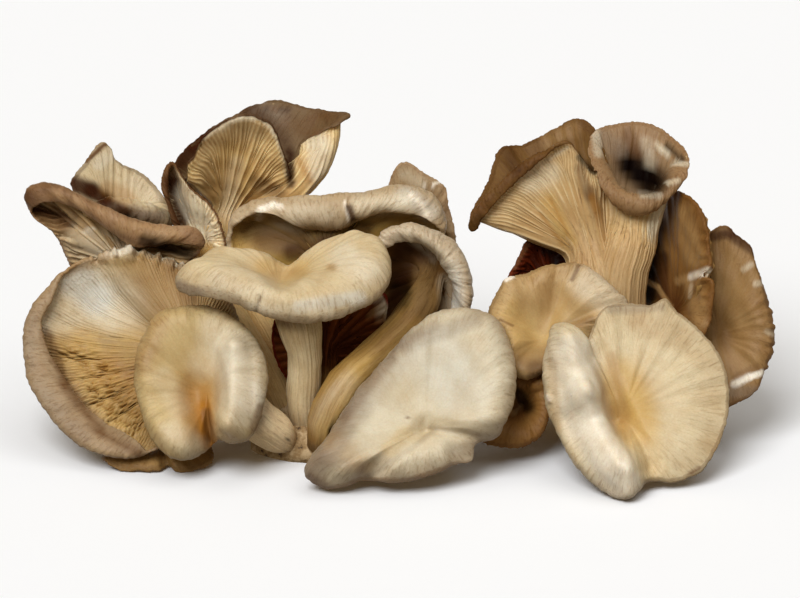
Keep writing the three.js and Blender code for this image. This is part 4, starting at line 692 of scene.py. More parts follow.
def upright(p):
    """(across, up, back) to x, y, z: turned about the across axis by the lean."""
    p = np.asarray(p, float)
    a, v, d = p[..., 0], p[..., 1], p[..., 2]
    s, c = math.sin(LEAN), math.cos(LEAN)
    return np.stack([a, v * s + d * c, v * c - d * s], -1)


TO_FRONT = upright((0, 0, -1))


def drawn_from_the_front(points):
    """Across and up of x, y, z points, in the leaning frame the mushrooms are drawn in."""
    return points[..., 0], points[..., 1] * math.sin(LEAN) + points[..., 2] * math.cos(LEAN)


def unit(v):
    """Vectors divided by their lengths."""
    return v / np.maximum(np.linalg.norm(v, axis=-1, keepdims=True), 1e-9)


def smooth(x, low=0.0, high=1.0):
    """0 below low, 1 above high, and a soft step between."""
    t = np.clip((np.asarray(x, float) - low) / (high - low), 0, 1)
    return t * t * (3 - 2 * t)


def ripple(t, height_and_waves, seed):
    """A sum of sines round the turn t, from 0 to 1: whole numbers of waves, with phases and weights drawn
    from the seed."""
    height, waves = height_and_waves
    rng = np.random.default_rng(seed)
    phases = rng.uniform(0, 2 * np.pi, len(waves))
    weights = rng.uniform(0.5, 1.0, len(waves))
    total = sum(w * np.sin(2 * np.pi * n * t + p) for n, p, w in zip(waves, phases, weights))
    return height * (total / weights.sum())


def bezier(start, near, far, end, w):
    """The cubic Bezier curve of four points, or rows of them, at the share w of its length."""
    return ((1 - w) ** 3 * start + 3 * (1 - w) ** 2 * w * near
            + 3 * (1 - w) * w * w * far + w ** 3 * end)


def smooth_rows(rows, closed, steps):
    """Rows joined by a Hermite curve whose knots lie at the square roots of the gaps."""
    rows = np.asarray(rows, float)
    if closed:
        line = np.vstack([rows[-1:], rows, rows[:2]])
    else:
        line = np.vstack([2 * rows[:1] - rows[1:2], rows, 2 * rows[-1:] - rows[-2:-1]])
    a, b, c, d = line[:-3], line[1:-2], line[2:-1], line[3:]
    ab, bc, cd = (np.sqrt(np.linalg.norm((q - p)[:, :3], axis=1))[:, None]
                  for p, q in ((a, b), (b, c), (c, d)))
    leave = (c - b) + bc * ((b - a) / ab - (c - a) / (ab + bc))
    arrive = (c - b) + bc * ((d - c) / cd - (d - b) / (bc + cd))
    w = (np.arange(steps) / steps)[None, :, None]
    rise = w * w * (3 - 2 * w)
    out = (1 - rise) * b[:, None] + rise * c[:, None]
    out = out + w * (1 - w) * ((1 - w) * leave[:, None] - w * arrive[:, None])
    out = out.reshape(-1, rows.shape[1])
    return out if closed else np.vstack([out, rows[-1:]])


def even_rows(rows, count, closed):
    """The same line at evenly spaced places."""
    line = np.vstack([rows, rows[:1]]) if closed else rows
    along = np.concatenate([[0], np.cumsum(np.linalg.norm(np.diff(line[:, :3], axis=0), axis=1))])
    at = np.arange(count) / count * along[-1] if closed else np.linspace(0, along[-1], count)
    return np.stack([np.interp(at, along, line[:, k]) for k in range(line.shape[1])], 1)


def turn_onto(v, heading, tangent):
    """v turned by the least turn that takes one unit direction to another."""
    axis = np.cross(heading, tangent)
    sine, cosine = np.linalg.norm(axis), heading @ tangent
    if sine < 1e-9:
        return v
    axis = axis / sine
    return v * cosine + np.cross(axis, v) * sine + axis * (axis @ v) * (1 - cosine)


def stroke(across, up, line, width, core=COLOUR_CORE):
    """1 on a straight line, or within a core share of the width from it, and 0 from the width outward, with
    a soft fall between."""
    a0, v0, a1, v1 = line
    run, rise = a1 - a0, v1 - v0
    length = max(run * run + rise * rise, 1e-9)
    along = np.clip(((across - a0) * run + (up - v0) * rise) / length, 0, 1)
    away = np.hypot(across - a0 - along * run, up - v0 - along * rise)
    return 1 - smooth(away, core * width, width)


def mix(a, b, share):
    """Colours a turned into b by a share for each point."""
    return a * (1 - share[..., None]) + b * share[..., None]


def marks_of(spec):
    """The marks of a mushroom, with each line cut into its straight stretches."""
    marks = []
    for kind, line, width, strength, *side in spec.get("marks", ()):
        for k in range(0, len(line) - 2, 2):
            marks.append(Mark(kind, line[k:k + 4], width, strength, side[0] if side else "front"))
    return marks


# ---------------------------------------------------------------- a mushroom

class Cap:
    """The cap as columns round its margin. Each column is a cubic Bezier curve from the hub to where the
    margin's roll starts, then an elliptic arc of the roll."""

    def __init__(self, spec, columns, seed):
        self.spec = spec
        self.hub = upright(spec["hub"])
        self.up = unit(upright(spec["up"]))
        line = self.margin_line()
        self.length = np.linalg.norm(np.diff(np.vstack([line, line[:1]])[:, :3], axis=0), axis=1).sum()
        even = even_rows(line, columns, True)
        self.turn = np.arange(columns) / columns
        edge = even[:, :3]
        out, face = self.directions(edge)
        edge = edge + out * ripple(self.turn, RAGGED, seed)[:, None]
        edge = edge + face * ripple(self.turn, WAVY, seed + 1)[:, None]
        dive = np.radians(even[:, 3] + ripple(self.turn, UNEVEN_DIVE, seed + 2))
        self.reach_mm = np.linalg.norm(edge - self.hub, axis=1, keepdims=True)
        out, face = self.directions(edge)
        cos, sin = np.cos(dive)[:, None], np.sin(dive)[:, None]
        self.tangent = out * cos - face * sin
        self.normal = face * cos + out * sin
        self.roll = np.radians(np.maximum(np.abs(even[:, 4]), LEAST_ROLL))
        quarter = np.minimum(self.roll, np.pi / 2)[:, None]
        self.along, self.across = spec["roll"]
        self.start = (edge - self.tangent * self.along * np.sin(quarter)
                      + self.normal * self.across * (1 - np.cos(quarter)))
        chord = edge - self.hub
        self.level = unit(chord - (chord @ self.up)[:, None] * self.up)
        near, far = spec["bend"]
        self.near = self.hub + self.level * self.reach_mm * near * even[:, 5:6]
        self.far = self.start - self.tangent * self.reach_mm * far

    def margin_line(self):
        """The margin as a closed smooth line, always one way round the hub, with its dive, roll and belly."""
        rim = np.array([row if len(row) == 6 else (*row, 1) for row in self.spec["rim"]], float)
        rows = np.hstack([upright(rim[:, :3]), rim[:, 3:]])
        arms = rows[:, :3] - self.hub
        if np.sum(np.cross(arms, np.roll(arms, -1, 0)) @ self.up) < 0:
            rows = rows[::-1]
        return smooth_rows(rows, True, MARGIN_STEPS)

    def directions(self, edge):
        """For margin points, the directions out from the hub and at right angles to that, toward up."""
        out = unit(edge - self.hub)
        return out, unit(self.up - (out @ self.up)[:, None] * out)

    def skin(self, reach):
        """Upper skin at one reach for all columns, or at a reach of its own for each: 0 hub, 1 roll's
        start, 2 margin."""
        u = np.broadcast_to(np.asarray(reach, float), self.turn.shape)[:, None]
        cap = bezier(self.hub, self.near, self.far, self.start, np.minimum(u, 1))
        curl = self.roll[:, None] * np.maximum(u - 1, 0)
        cap = cap + self.tangent * self.along * np.sin(curl) - self.normal * self.across * (1 - np.cos(curl))
        return cap + self.up * self.fold_lift(cap)[:, None]

    def fold_lift(self, point):
        """How far the folds lift points of the cap: all of the lift on a fold's line, none a width away."""
        across, up = drawn_from_the_front(point)
        return sum((lift * stroke(across, up, line, width, 0)
                    for line, width, lift in self.spec.get("folds", ())), np.zeros(point.shape[:-1]))

    def face_at(self, reach):
        """Outward normal of the upper skin: cross product of the slopes along and across the columns,
        turned into the roll's own normal near the margin."""
        u = np.broadcast_to(np.asarray(reach, float), self.turn.shape)
        curl = self.roll[:, None] * np.maximum(u - 1, 0)[:, None]
        rolled = unit(self.normal * self.along * np.cos(curl) + self.tangent * self.across * np.sin(curl))
        v = np.minimum(u, 1.0)
        here = self.skin(v)
        apart = max(1, len(self.turn) // SLOPE_PARTS)
        across = np.roll(here, -apart, 0) - np.roll(here, apart, 0)
        ahead = self.skin(np.minimum(v + SLOPE_STEP, 1.0)) - self.skin(v - SLOPE_STEP)
        normal = unit(np.cross(ahead, across))
        by_roll = smooth(v, *CAP_TO_ROLL)[:, None]
        return unit(np.where(u[:, None] > 1, rolled, normal * (1 - by_roll) + self.normal * by_roll))

    def thickness(self, reach):
        """Thickness in mm: thick at the hub, and down to the margin's by a power of the way that is left."""
        middle, edge = self.spec["thick"]
        u = np.asarray(reach, float)
        cap = edge * LIP + (middle - edge * LIP) * np.maximum(1 - u, 0) ** THIN_POWER
        return np.where(u > 1, edge * (LIP - (LIP - 1) * (u - 1)), cap)

    def under(self, reach):
        """Gill side before its gills: the upper skin moved in by the thickness."""
        thick = np.broadcast_to(self.thickness(reach), self.turn.shape)[:, None]
        return self.skin(reach) - self.face_at(reach) * thick

    def lip(self):
        """Rows round the margin's edge: half a circle, as thick as the margin, from the skin to the gill
        side."""
        margin, out = self.skin(2.0), self.face_at(2.0)
        curl = self.roll[:, None]
        ahead = unit(self.tangent * self.along * np.cos(curl) - self.normal * self.across * np.sin(curl))
        half = self.spec["thick"][1] / 2
        return [margin - out * half * (1 - math.cos(angle)) + ahead * half * math.sin(angle)
                for angle in np.radians(LIP_ANGLES)]

    def stem(self, count):
        """Rings of the stem from the cap down: circles on the stem's path, in frames that turn no more than
        the path does. Each column's angle follows the cap's for the most part, but never turns back."""
        # any direction well away from up
        off_axis = np.array((1.0, 0, 0) if abs(self.up[2]) > 0.9 else (0.1, 0.3, 1.0))
        first = unit(np.cross(off_axis, self.up))
        second = np.cross(self.up, first)
        angle = np.unwrap(np.arctan2(self.level @ second, self.level @ first))
        turned = np.maximum.accumulate(angle - angle[0])
        angle = angle[0] + (1 - EVEN_SHARE) * turned + EVEN_SHARE * 2 * np.pi * self.turn
        stem = np.array(self.spec["stem"], float)[::-1]
        path = np.hstack([upright(stem[:, :3]), stem[:, 3:]])
        path = even_rows(smooth_rows(path, False, STEM_STEPS), count, False)
        tangents = unit(np.gradient(path[:, :3], axis=0))
        heading = -self.up
        rings = []
        for place, tangent in zip(path, tangents):
            first, second = turn_onto(first, heading, tangent), turn_onto(second, heading, tangent)
            heading = tangent
            circle = np.cos(angle)[:, None] * first + np.sin(angle)[:, None] * second
            rings.append(place[:3] + place[3] * circle)
        return rings, tangents[0], path[-1, :3]


class Mushroom:
    """One mushroom as a closed grid of points. Its rows go from the hub over the skin to the margin, back
    along the gill side, and down the flare and the stem. Its columns go round."""

    def __init__(self, spec, seed):
        self.spec, self.seed = spec, seed
        count, self.gill_height, self.per_gill = spec["gills"]
        self.columns = count * self.per_gill
        self.marks = marks_of(spec)
        self.cap = Cap(spec, self.columns, seed)
        self.lay_rows()
        down = np.gradient(self.grid, axis=0)
        around = np.roll(self.grid, -1, 1) - np.roll(self.grid, 1, 1)
        self.normals = unit(np.cross(down, around))
        self.across, self.up = drawn_from_the_front(self.grid)

    def lay_rows(self):
        """Makes the rows, what each belongs to, and its reach: 0 at the hub, 1 at the roll's start, 2 at
        the margin, and back to 0 along the gill side, then to -1 down the flare and to -2 down the stem. The
        flare is a Bezier curve that leaves the gill side and meets the stem smoothly."""
        cap = self.cap
        skins, rolls, unders, flares, stems = self.spec["rows"]
        rows = [(cap.skin(s), SKIN, s) for s in np.linspace(0, 1, skins + 1)[1:] ** HUB_POWER]
        rows += [(cap.skin(1 + q), SKIN, 1 + q) for q in np.linspace(0, 1, rolls + 1)[1:]]
        rows += [(line, EDGE, 2.0) for line in cap.lip()]
        rows += [(cap.under(1 + q), GILLS, 1 + q) for q in np.linspace(1, 0, rolls, endpoint=False)]
        joint = np.clip(JOINT * self.spec["stem"][-1][3] / cap.reach_mm[:, 0], *JOINT_REACH)
        rows += [(cap.under(joint + (1 - joint) * x), GILLS, x) for x in np.linspace(1, 0, unders)]
        root = cap.under(joint)
        inward = unit(root - cap.under(joint + FLARE_STEP * (1 - joint)))
        rings, tangent, self.foot = cap.stem(stems)
        pull = FLARE_PULL * np.linalg.norm(rings[0] - root, axis=1, keepdims=True)
        near, far = root + inward * pull, rings[0] - tangent * pull
        rows += [(bezier(root, near, far, rings[0], w), FLARE, -w)
                 for w in np.linspace(0, 1, flares + 2)[1:-1]]
        rows += [(ring, STEM, -1 - k / (stems - 1)) for k, ring in enumerate(rings)]
        grid, kind, reach = zip(*rows)
        self.grid = np.array(grid)
        self.kind, self.reach = np.array(kind)[:, None], np.array(reach)[:, None]

    def shares(self, wanted):
        """How strongly the marks of one kind lie on each point."""
        return sum((mark.strength * stroke(self.across, self.up, mark.line, mark.width, SOFT_CORE)
                    for mark in self.marks if mark.kind == wanted), np.zeros(self.across.shape))

    def gill_relief(self):
        """Gills as blades. Every column knows how far it is from the nearest blade. One blade in four runs
        from the margin to the stem and down it, one more starts past the middle, and the rest are short ones
        by the margin. Crisp marks tear them across into short high lengths, and soft ones flatten them.
        Returns the height in mm, how near each point is to a blade's edge, and how deep it lies between
        crumpled gills, both 0 to 1."""
        place = np.arange(self.columns) / self.per_gill
        number = np.round(place)
        blade = np.clip(1 - np.abs(place - number) * 2, 0, 1) ** BLADE_POWER
        order = number.astype(int) % 4
        r = self.reach
        life = np.where(order == 2, smooth(r, *SECOND_GILLS), smooth(r, *SHORT_GILLS))
        life = np.where(order == 0, 1.0, life)
        at_margin, at_start = ROLL_GILLS
        on_roll = at_margin + (at_start - at_margin) * (2 - np.clip(r, 1, 2))
        at_hub, more = CAP_GILLS
        on_cap = at_hub + more * np.sin(np.pi * np.clip(r, 0, 1))
        lost = (1 - self.spec.get("fade", 1.0)) * smooth(r, *FADING)
        on_stem = STEM_GILLS * (1 - smooth(-r, GILLS_RUN_OUT, 1 + self.spec.get("decurrent", DECURRENT)))
        height = np.where(r < 0, on_stem, np.where(r >= 1, on_roll, on_cap) * (1 - lost)) * self.gill_height
        crisp, soft = self.shares("crisp"), self.shares("soft")
        sway, pace = CUT_WAVE
        cuts = r * CUTS + CUT_SHIFT * number + sway * np.sin(pace * number)
        whole = 1 - crisp * (1 - smooth(0.5 + 0.5 * np.sin(2 * np.pi * cuts), *CUT_SIDES))
        height = height * (1 + crisp) * whole * (1 - soft)
        edge = life * blade * whole
        gill_side = self.kind >= GILLS
        pits = gill_side * crisp * (1 - smooth(edge, *PIT_SIDES))
        return gill_side * height * life * blade, gill_side * (edge * (1 - soft) + SOFT_TONE * soft), pits

    def furrows(self):
        """Fibres down the stem as low ridges, from -1 in a valley to 1 on a ridge. They wander a little and
        fade out under the cap."""
        wander = sum(far * np.sin(pace * self.reach + times * self.seed) for far, pace, times in WANDER)
        return ripple(self.cap.turn + wander, FIBRES, self.seed + 7) * smooth(-self.reach, *CAP_TO_FURROWS)

    def lumps(self):
        """Low soft swells of the flesh in mm: two crossed waves of about 15 mm, multiplied."""
        x, y, z = (self.grid[..., k] for k in range(3))
        (by_x, by_z), (by_y, by_z_too) = LUMP_WAVES
        return (LUMP * np.sin(x * by_x + z * by_z + self.seed)
                * np.sin(y * by_y + z * by_z_too + 2 * self.seed))

    def on_side(self, side):
        """Share of each point on one side: top, gills and front where it faces the front, inside for all of
        the upper skin, and both for everything."""
        if side == "both":
            return np.ones(self.across.shape)
        if side == "inside":
            return np.broadcast_to(self.kind <= EDGE, self.across.shape)
        front = smooth(self.normals @ TO_FRONT, *FACING)
        if side == "top":
            return front * (self.kind <= EDGE)
        if side == "gills":
            return front * (self.kind >= GILLS)
        return front

    def relief_marks(self):
        """Lift in mm from the marks called bump, dent and frill. A frill is a bump that goes up and down in
        uneven waves along its line."""
        lift = np.zeros(self.across.shape)
        for mark in self.marks:
            if mark.kind in RELIEF:
                waves = 1.0
                if mark.kind == "frill":
                    run = unit(np.array(mark.line[2:], float) - np.array(mark.line[:2], float))
                    ahead = (self.across * run[0] + self.up * run[1]) * 2 * np.pi / FRILL_WAVE
                    waves = sum(part * np.sin(pace * ahead + phase) for part, pace, phase in FRILL_WAVES)
                share = stroke(self.across, self.up, mark.line, mark.width) * self.on_side(mark.side)
                lift += RELIEF[mark.kind] * mark.strength * waves * share
        return lift

    def paint(self, blade, pits, ridges):
        """Colour of every point: the skin from hub to margin, the gills by how near a blade's edge is, with
        painted shade in the grooves between them and in the pits of crumpled gills, the stem with painted
        shade in its furrows and earth on its foot, and last the marks, which lay on the flesh's own colours,
        painted highlights and painted shade."""
        hub, skin, margin, edge, deep, stem = (linear(tone) for tone in self.spec["tones"])
        reach_in, strength = self.spec["margin"]
        r = self.reach + ripple(self.cap.turn, UNEVEN_TONE, self.seed + 5)
        upper = mix(np.broadcast_to(hub, self.grid.shape), skin, smooth(r, *HUB_TO_SKIN))
        upper = mix(upper, margin, strength * smooth(r, 1 - reach_in, MARGIN_TONE_FULL))
        # the darker colour between the gills paints the shade of the grooves, and brown paints the shade in
        # the pits of crumpled gills
        by_edge = np.clip(BETWEEN_GILLS + (1 - BETWEEN_GILLS) * blade, 0, 1)
        gilled = mix(np.broadcast_to(deep, self.grid.shape), edge, by_edge)
        gilled = mix(gilled, linear(STROKES["brown"]), PIT_SHADE * pits)
        gilled = mix(gilled, margin, MARGIN_SHADE * strength * smooth(r, *GILLS_TO_MARGIN))
        stalk = mix(gilled, stem, smooth(-r, *GILLS_TO_STEM))
        # painted shade in the valleys of the stem's fibres
        stalk = mix(stalk, deep, self.spec.get("furrow", FURROW) * np.clip(-ridges, 0, 1))
        stalk = mix(stalk, linear(EARTH), EARTH_SHADE * smooth(-r, *STEM_TO_FOOT))
        kind = self.kind[..., None]
        tone = np.where(kind <= EDGE, upper, np.where(kind == GILLS, gilled, stalk))
        # the marks: the flesh's own colours, painted highlights and painted shade
        for mark in self.marks:
            if mark.kind in STROKES:
                core = WHITE_CORE if mark.kind == "white" else COLOUR_CORE
                share = mark.strength * stroke(self.across, self.up, mark.line, mark.width, core)
                tone = mix(tone, linear(STROKES[mark.kind]), share * self.on_side(mark.side))
        return tone

    def surface(self, gill_scale):
        """The finished points with the relief raised along the grid's normals, the faces, and for each point
        its colour, its place on the map of turn and reach, and how fibrous its skin is."""
        cap, shape = self.cap, self.across.shape
        height, blade, pits = self.gill_relief()
        spacing = np.linalg.norm(np.roll(self.grid, -1, 1) - self.grid, axis=2) * self.per_gill
        height = np.minimum(height * gill_scale, HIGHEST_GILL * np.maximum(spacing, LEAST_GAP))
        ridges = self.furrows()
        lumps = self.lumps() + self.spec.get("furrow", FURROW) * ridges
        lift = height + lumps * (self.kind != EDGE) + self.relief_marks()
        tones = self.paint(blade, pits, ridges)
        grid = self.grid + self.normals * lift[..., None]
        middle = cap.hub + cap.up * cap.fold_lift(cap.hub)
        on_map = np.stack(np.broadcast_arrays(cap.turn * cap.length / MAP_STEP, self.reach), -1)
        reach = np.broadcast_to(self.reach, shape)
        fibre = np.where(reach > 0, smooth(reach, *SMOOTH_TO_FIBROUS), STEM_FIBRE)
        quads, tris = closed_faces(*shape)
        return (with_poles(middle, grid, self.foot), quads, tris,
                with_poles(tones[0].mean(0), tones, tones[-1].mean(0)),
                with_poles((0, 0), on_map, (0, -2)), with_poles((0,), fibre[..., None], (0,)))


def with_poles(first, grid, last):
    """A grid's values as one list, with a pole's value before and after them."""
    return np.vstack([[first], grid.reshape(-1, grid.shape[-1]), [last]])


def closed_faces(rows, columns):
    """Quads between rows and triangles to a pole at each end, all turned the same way."""
    i = np.arange(columns)
    j = (i + 1) % columns
    start = (1 + np.arange(rows - 1) * columns)[:, None]
    quads = np.stack([start + i, start + columns + i, start + columns + j, start + j], -1).reshape(-1, 4)
    last = 1 + (rows - 1) * columns
    first = np.stack([np.zeros(columns, int), 1 + i, 1 + j], 1)
    final = np.stack([last + i, np.full(columns, 1 + rows * columns), last + j], 1)
    return quads, np.vstack([first, final])


def make_mesh(name, points, quads, tris, colours=None, turn=None, fibre=None, material=None):
    """A mesh object from arrays in mm, with smooth faces, a colour for each point and a UV map that holds
    the turn round the piece and the reach along it."""
    mesh = bpy.data.meshes.new(name)
    mesh.vertices.add(len(points))
    mesh.vertices.foreach_set("co", ((points - REST_POINT) * MM).ravel())
    loops = np.concatenate([quads.ravel(), tris.ravel()])
    mesh.loops.add(len(loops))
    mesh.loops.foreach_set("vertex_index", loops)
    sizes = np.concatenate([np.full(len(quads), 4), np.full(len(tris), 3)])
    mesh.polygons.add(len(sizes))
    mesh.polygons.foreach_set("loop_start", np.concatenate([[0], np.cumsum(sizes)[:-1]]))
    mesh.polygons.foreach_set("use_smooth", np.ones(len(sizes), bool))
    mesh.update(calc_edges=True)
    if colours is not None:
        rgba = np.ones((len(points), 4))
        rgba[:, :3] = colours
        mesh.attributes.new("tone", "FLOAT_COLOR", "POINT").data.foreach_set("color", rgba.ravel())
    if fibre is not None:
        mesh.attributes.new("fibre", "FLOAT", "POINT").data.foreach_set("value", fibre.ravel())
    if turn is not None:
        mesh.uv_layers.new(name="along").data.foreach_set("uv", turn[loops].ravel())
    mesh.validate()
    if material is not None:
        mesh.materials.append(material)
    piece = bpy.data.objects.new(name, mesh)
    bpy.context.scene.collection.objects.link(piece)
    return piece


def mushroom_mesh(name, specs, material, gill_scale):
    """One mesh from one or more mushrooms grown together."""
    seed = sum(ord(letter) for letter in name)
    parts = [Mushroom(spec, seed + 31 * number).surface(gill_scale) for number, spec in enumerate(specs)]
    stacks = [[] for _ in parts[0]]
    start = 0
    for points, quads, tris, *values in parts:
        for stack, item in zip(stacks, (points, quads + start, tris + start, *values)):
            stack.append(item)
        start += len(points)
    return make_mesh(name, *(np.vstack(stack) for stack in stacks), material=material)


# ---------------------------------------------------------------- materials

def node(tree, kind, settings=None, links=None, **inputs):
    """Adds a node. settings are its own properties, inputs are socket values with _ for a space, and
    links are (output socket, input name or number) pairs."""
    new = tree.nodes.new(kind)
    for key, value in (settings or {}).items():
        setattr(new, key, value)
    for key, value in inputs.items():
        new.inputs[key.replace("_", " ")].default_value = value
    for source, target in (links or ()):
        tree.links.new(source, new.inputs[target])
    return new


def empty_material(name):
    """A named material and its node tree, with no nodes yet."""
    material = bpy.data.materials.new(name)
    material.use_nodes = True
    material.node_tree.nodes.clear()
    return material, material.node_tree


def mushroom_flesh(name, roughness, streak, mottle):
    """Fresh mushroom skin: moist, slightly see-through flesh. The eye sees short brown fibres that thicken
    toward the margin, soft cloudy blotches, fine pores and a faint silky light on top."""
    material, tree = empty_material(name)
    tone, outer = (node(tree, "ShaderNodeAttribute", {"attribute_name": value, "attribute_type": "GEOMETRY"})
                   for value in ("tone", "fibre"))
    where = node(tree, "ShaderNodeTexCoord")
    uv = node(tree, "ShaderNodeUVMap", {"uv_map": "along"})
    # fibres: a step of 1 in the map's x is 100 mm round the margin, and 1 in its y is hub to margin, about
    # 45 mm, so this makes them 1.2 mm wide and 6 mm long
    stretch = node(tree, "ShaderNodeMapping", links=[(uv.outputs["UV"], "Vector")], Scale=(82, 7.5, 1))
    fibres = node(tree, "ShaderNodeTexNoise", {"noise_dimensions": "2D"},
                  [(stretch.outputs["Vector"], "Vector")],
                  Scale=1.0, Detail=3.0, Roughness=0.6, Distortion=0.4)
    # clouds of 12 mm, and pores and grain of 0.8 mm
    cloud, grain = (node(tree, "ShaderNodeTexNoise", links=[(where.outputs["Object"], "Vector")],
                         Scale=scale, Detail=detail, Roughness=0.6) for scale, detail in ((85, 5), (1250, 3)))
    fibre_share, cloud_share, grain_share = (
        node(tree, "ShaderNodeMapRange", links=[(noise.outputs["Fac"], "Value")],
             From_Min=none, From_Max=most, To_Max=strength)
        for noise, none, most, strength in (
            (fibres, 0.5, 0.72, 2.2 * streak), (cloud, 0.62, 0.38, 2.0 * mottle),
            (grain, 0.65, 0.35, 1.2 * mottle)))
    by_margin = node(tree, "ShaderNodeMath", {"operation": "MULTIPLY"},
                     [(fibre_share.outputs["Result"], 0), (outer.outputs["Fac"], 1)])
    colour = tone.outputs["Color"]
    for share, darker in ((by_margin.outputs["Value"], "b39a78"), (cloud_share.outputs["Result"], "d6b98a"),
                          (grain_share.outputs["Result"], "c8b18e")):
        layer = node(tree, "ShaderNodeMix", {"data_type": "RGBA", "blend_type": "MULTIPLY"},
                     [(share, 0), (colour, 6)])
        layer.inputs[7].default_value = (*linear(darker), 1)
        colour = layer.outputs[2]
    rough = node(tree, "ShaderNodeMapRange", links=[(cloud.outputs["Fac"], "Value")],
                 To_Min=roughness - 0.08, To_Max=roughness + 0.1)
    # dark hollows are lit by little else than their own walls, so they shine less
    shine = node(tree, "ShaderNodeMapRange", links=[(tone.outputs["Fac"], "Value")],
                 From_Max=0.3, To_Min=0.02, To_Max=0.45)
    fibre_bump = node(tree, "ShaderNodeBump", links=[(by_margin.outputs["Value"], "Height")],
                      Strength=0.4, Distance=0.0005)
    bump = node(tree, "ShaderNodeBump", links=[
        (grain.outputs["Fac"], "Height"), (fibre_bump.outputs["Normal"], "Normal")],
        Strength=0.35, Distance=0.0003)
    shader = node(tree, "ShaderNodeBsdfPrincipled", links=[
        (colour, "Base Color"), (rough.outputs["Result"], "Roughness"),
        (shine.outputs["Result"], "Specular IOR Level"), (bump.outputs["Normal"], "Normal")],
        IOR=1.42, Subsurface_Weight=0.12, Subsurface_Radius=(1.0, 0.5, 0.25), Subsurface_Scale=0.003)
    node(tree, "ShaderNodeOutputMaterial", links=[(shader.outputs["BSDF"], "Surface")])
    return material


def clump_material():
    """Spent straw and mycelium pressed together: dull brown and rough, with dark pits and pale crumbs."""
    material, tree = empty_material("straw_clump")
    where = node(tree, "ShaderNodeTexCoord")
    # crumbs of 4 mm with finer ones in them
    cloud = node(tree, "ShaderNodeTexNoise", links=[(where.outputs["Object"], "Vector")],
                 Scale=220.0, Detail=6.0, Roughness=0.65)
    layers = []
    for none, most, other in ((0.42, 0.36, "2c1810"), (0.45, 0.6, "c8ad84")):
        share = node(tree, "ShaderNodeMapRange", links=[(cloud.outputs["Fac"], "Value")],
                     From_Min=none, From_Max=most)
        layer = node(tree, "ShaderNodeMix", {"data_type": "RGBA"}, [(share.outputs["Result"], 0)])
        layer.inputs[7].default_value = (*linear(other), 1)
        layers.append(layer)
    pits, crumbs = layers
    pits.inputs[6].default_value = (*linear("9a7c52"), 1)
    tree.links.new(pits.outputs[2], crumbs.inputs[6])
    bump = node(tree, "ShaderNodeBump", links=[(cloud.outputs["Fac"], "Height")],
                Strength=0.8, Distance=0.001)
    shader = node(tree, "ShaderNodeBsdfPrincipled", links=[
        (crumbs.outputs[2], "Base Color"), (bump.outputs["Normal"], "Normal")], Roughness=0.85)
    node(tree, "ShaderNodeOutputMaterial", links=[(shader.outputs["BSDF"], "Surface")])
    return material


def paper_material(colour):
    """Matt paper: one plain colour that keeps the eye on the mushrooms."""
    material = bpy.data.materials.new("pale_paper")
    material.use_nodes = True
    shader = material.node_tree.nodes["Principled BSDF"]
    shader.inputs["Base Color"].default_value = (*colour, 1)
    shader.inputs["Roughness"].default_value = 0.9
    return material


# ---------------------------------------------------------------- the clump

# (across, front, back, height) of the clump's cross sections, in upright mm
CLUMP_STATIONS = (
    (-60, 14, 22, 3), (-57, 9, 32, 9), (-51, 4, 42, 13), (-44, 0, 52, 15), (-36, -1.5, 52, 16),
    (-27, -2, 46, 16), (-16, 4, 44, 15), (0, 14, 44, 14), (20, 24, 46, 13), (40, 30, 50, 14),
    (56, 33, 52, 17), (66, 30, 53, 18), (78, 16, 54, 18), (90, 10, 54, 17), (104, 12, 52, 15),
    (114, 18, 46, 10), (119, 26, 38, 4),
)
ARCH = (60, 9.2, 10.5)  # middle, half width and height of the hollow under the clump


def clump_mesh(name, material):
    """The base: stations joined by straight lines along x, each a half oval raised to the power 0.6, with
    the arch cut out below as a lifted underside, and small knobs all over."""
    stations = np.array(CLUMP_STATIONS, float)
    count, sides = 240, 56
    x = np.linspace(stations[0, 0], stations[-1, 0], count)[:, None]
    front, back, height = (np.interp(x, stations[:, 0], stations[:, k]) for k in (1, 2, 3))
    middle, half = (front + back) / 2, (back - front) / 2
    arch_middle, arch_half, arch_height = ARCH
    arch = arch_height * np.sqrt(np.clip(1 - ((x - arch_middle) / arch_half) ** 2, 0, 1))
    angle = np.linspace(0, np.pi, sides)[None, :]
    # knobs: crossed waves of 7 and 18 mm and a finer one of 3 mm, none by the floor
    knob = 0.9 * np.sin(x * 0.9 + 3 * angle) * np.sin(7 * angle + x * 0.35)
    knob = (knob + 0.5 * np.sin(x * 2.3 + 11 * angle)) * np.sin(angle)
    y = middle - (half + 0.7 * knob) * np.cos(angle)
    z = np.maximum((height + knob) * np.clip(np.sin(angle), 0, 1) ** 0.6, arch)
    top, floor = (np.stack(np.broadcast_arrays(x, *place), -1)
                  for place in ((y, z), (middle + half * np.cos(angle), arch)))
    grid = np.concatenate([top, floor[:, 1:-1]], 1)
    points = with_poles(grid[0].mean(0), grid, grid[-1].mean(0))
    return make_mesh(name, points, *closed_faces(*grid.shape[:2]), material=material)


# ---------------------------------------------------------------- add-on

class MushroomSettings(bpy.types.PropertyGroup):
    """Sizes that a user would change on the mushrooms."""

    gill_height: bpy.props.FloatProperty(
        name="Gill height", description="Height of the gills, in parts of their drawn height",
        default=1.0, min=0.0, max=1.5, subtype="FACTOR")
    skin_roughness: bpy.props.FloatProperty(
        name="Skin roughness", description="How dull the caps' skin is", default=0.5, min=0.1, max=1.0,
        subtype="FACTOR")
    streaks: bpy.props.FloatProperty(
        name="Streaks", description="Strength of the fibres that run to the margin", default=0.22,
        min=0.0, max=0.5, subtype="FACTOR")
    mottle: bpy.props.FloatProperty(
        name="Mottle", description="Strength of the cloudy blotches", default=0.14, min=0.0, max=0.5,
        subtype="FACTOR")


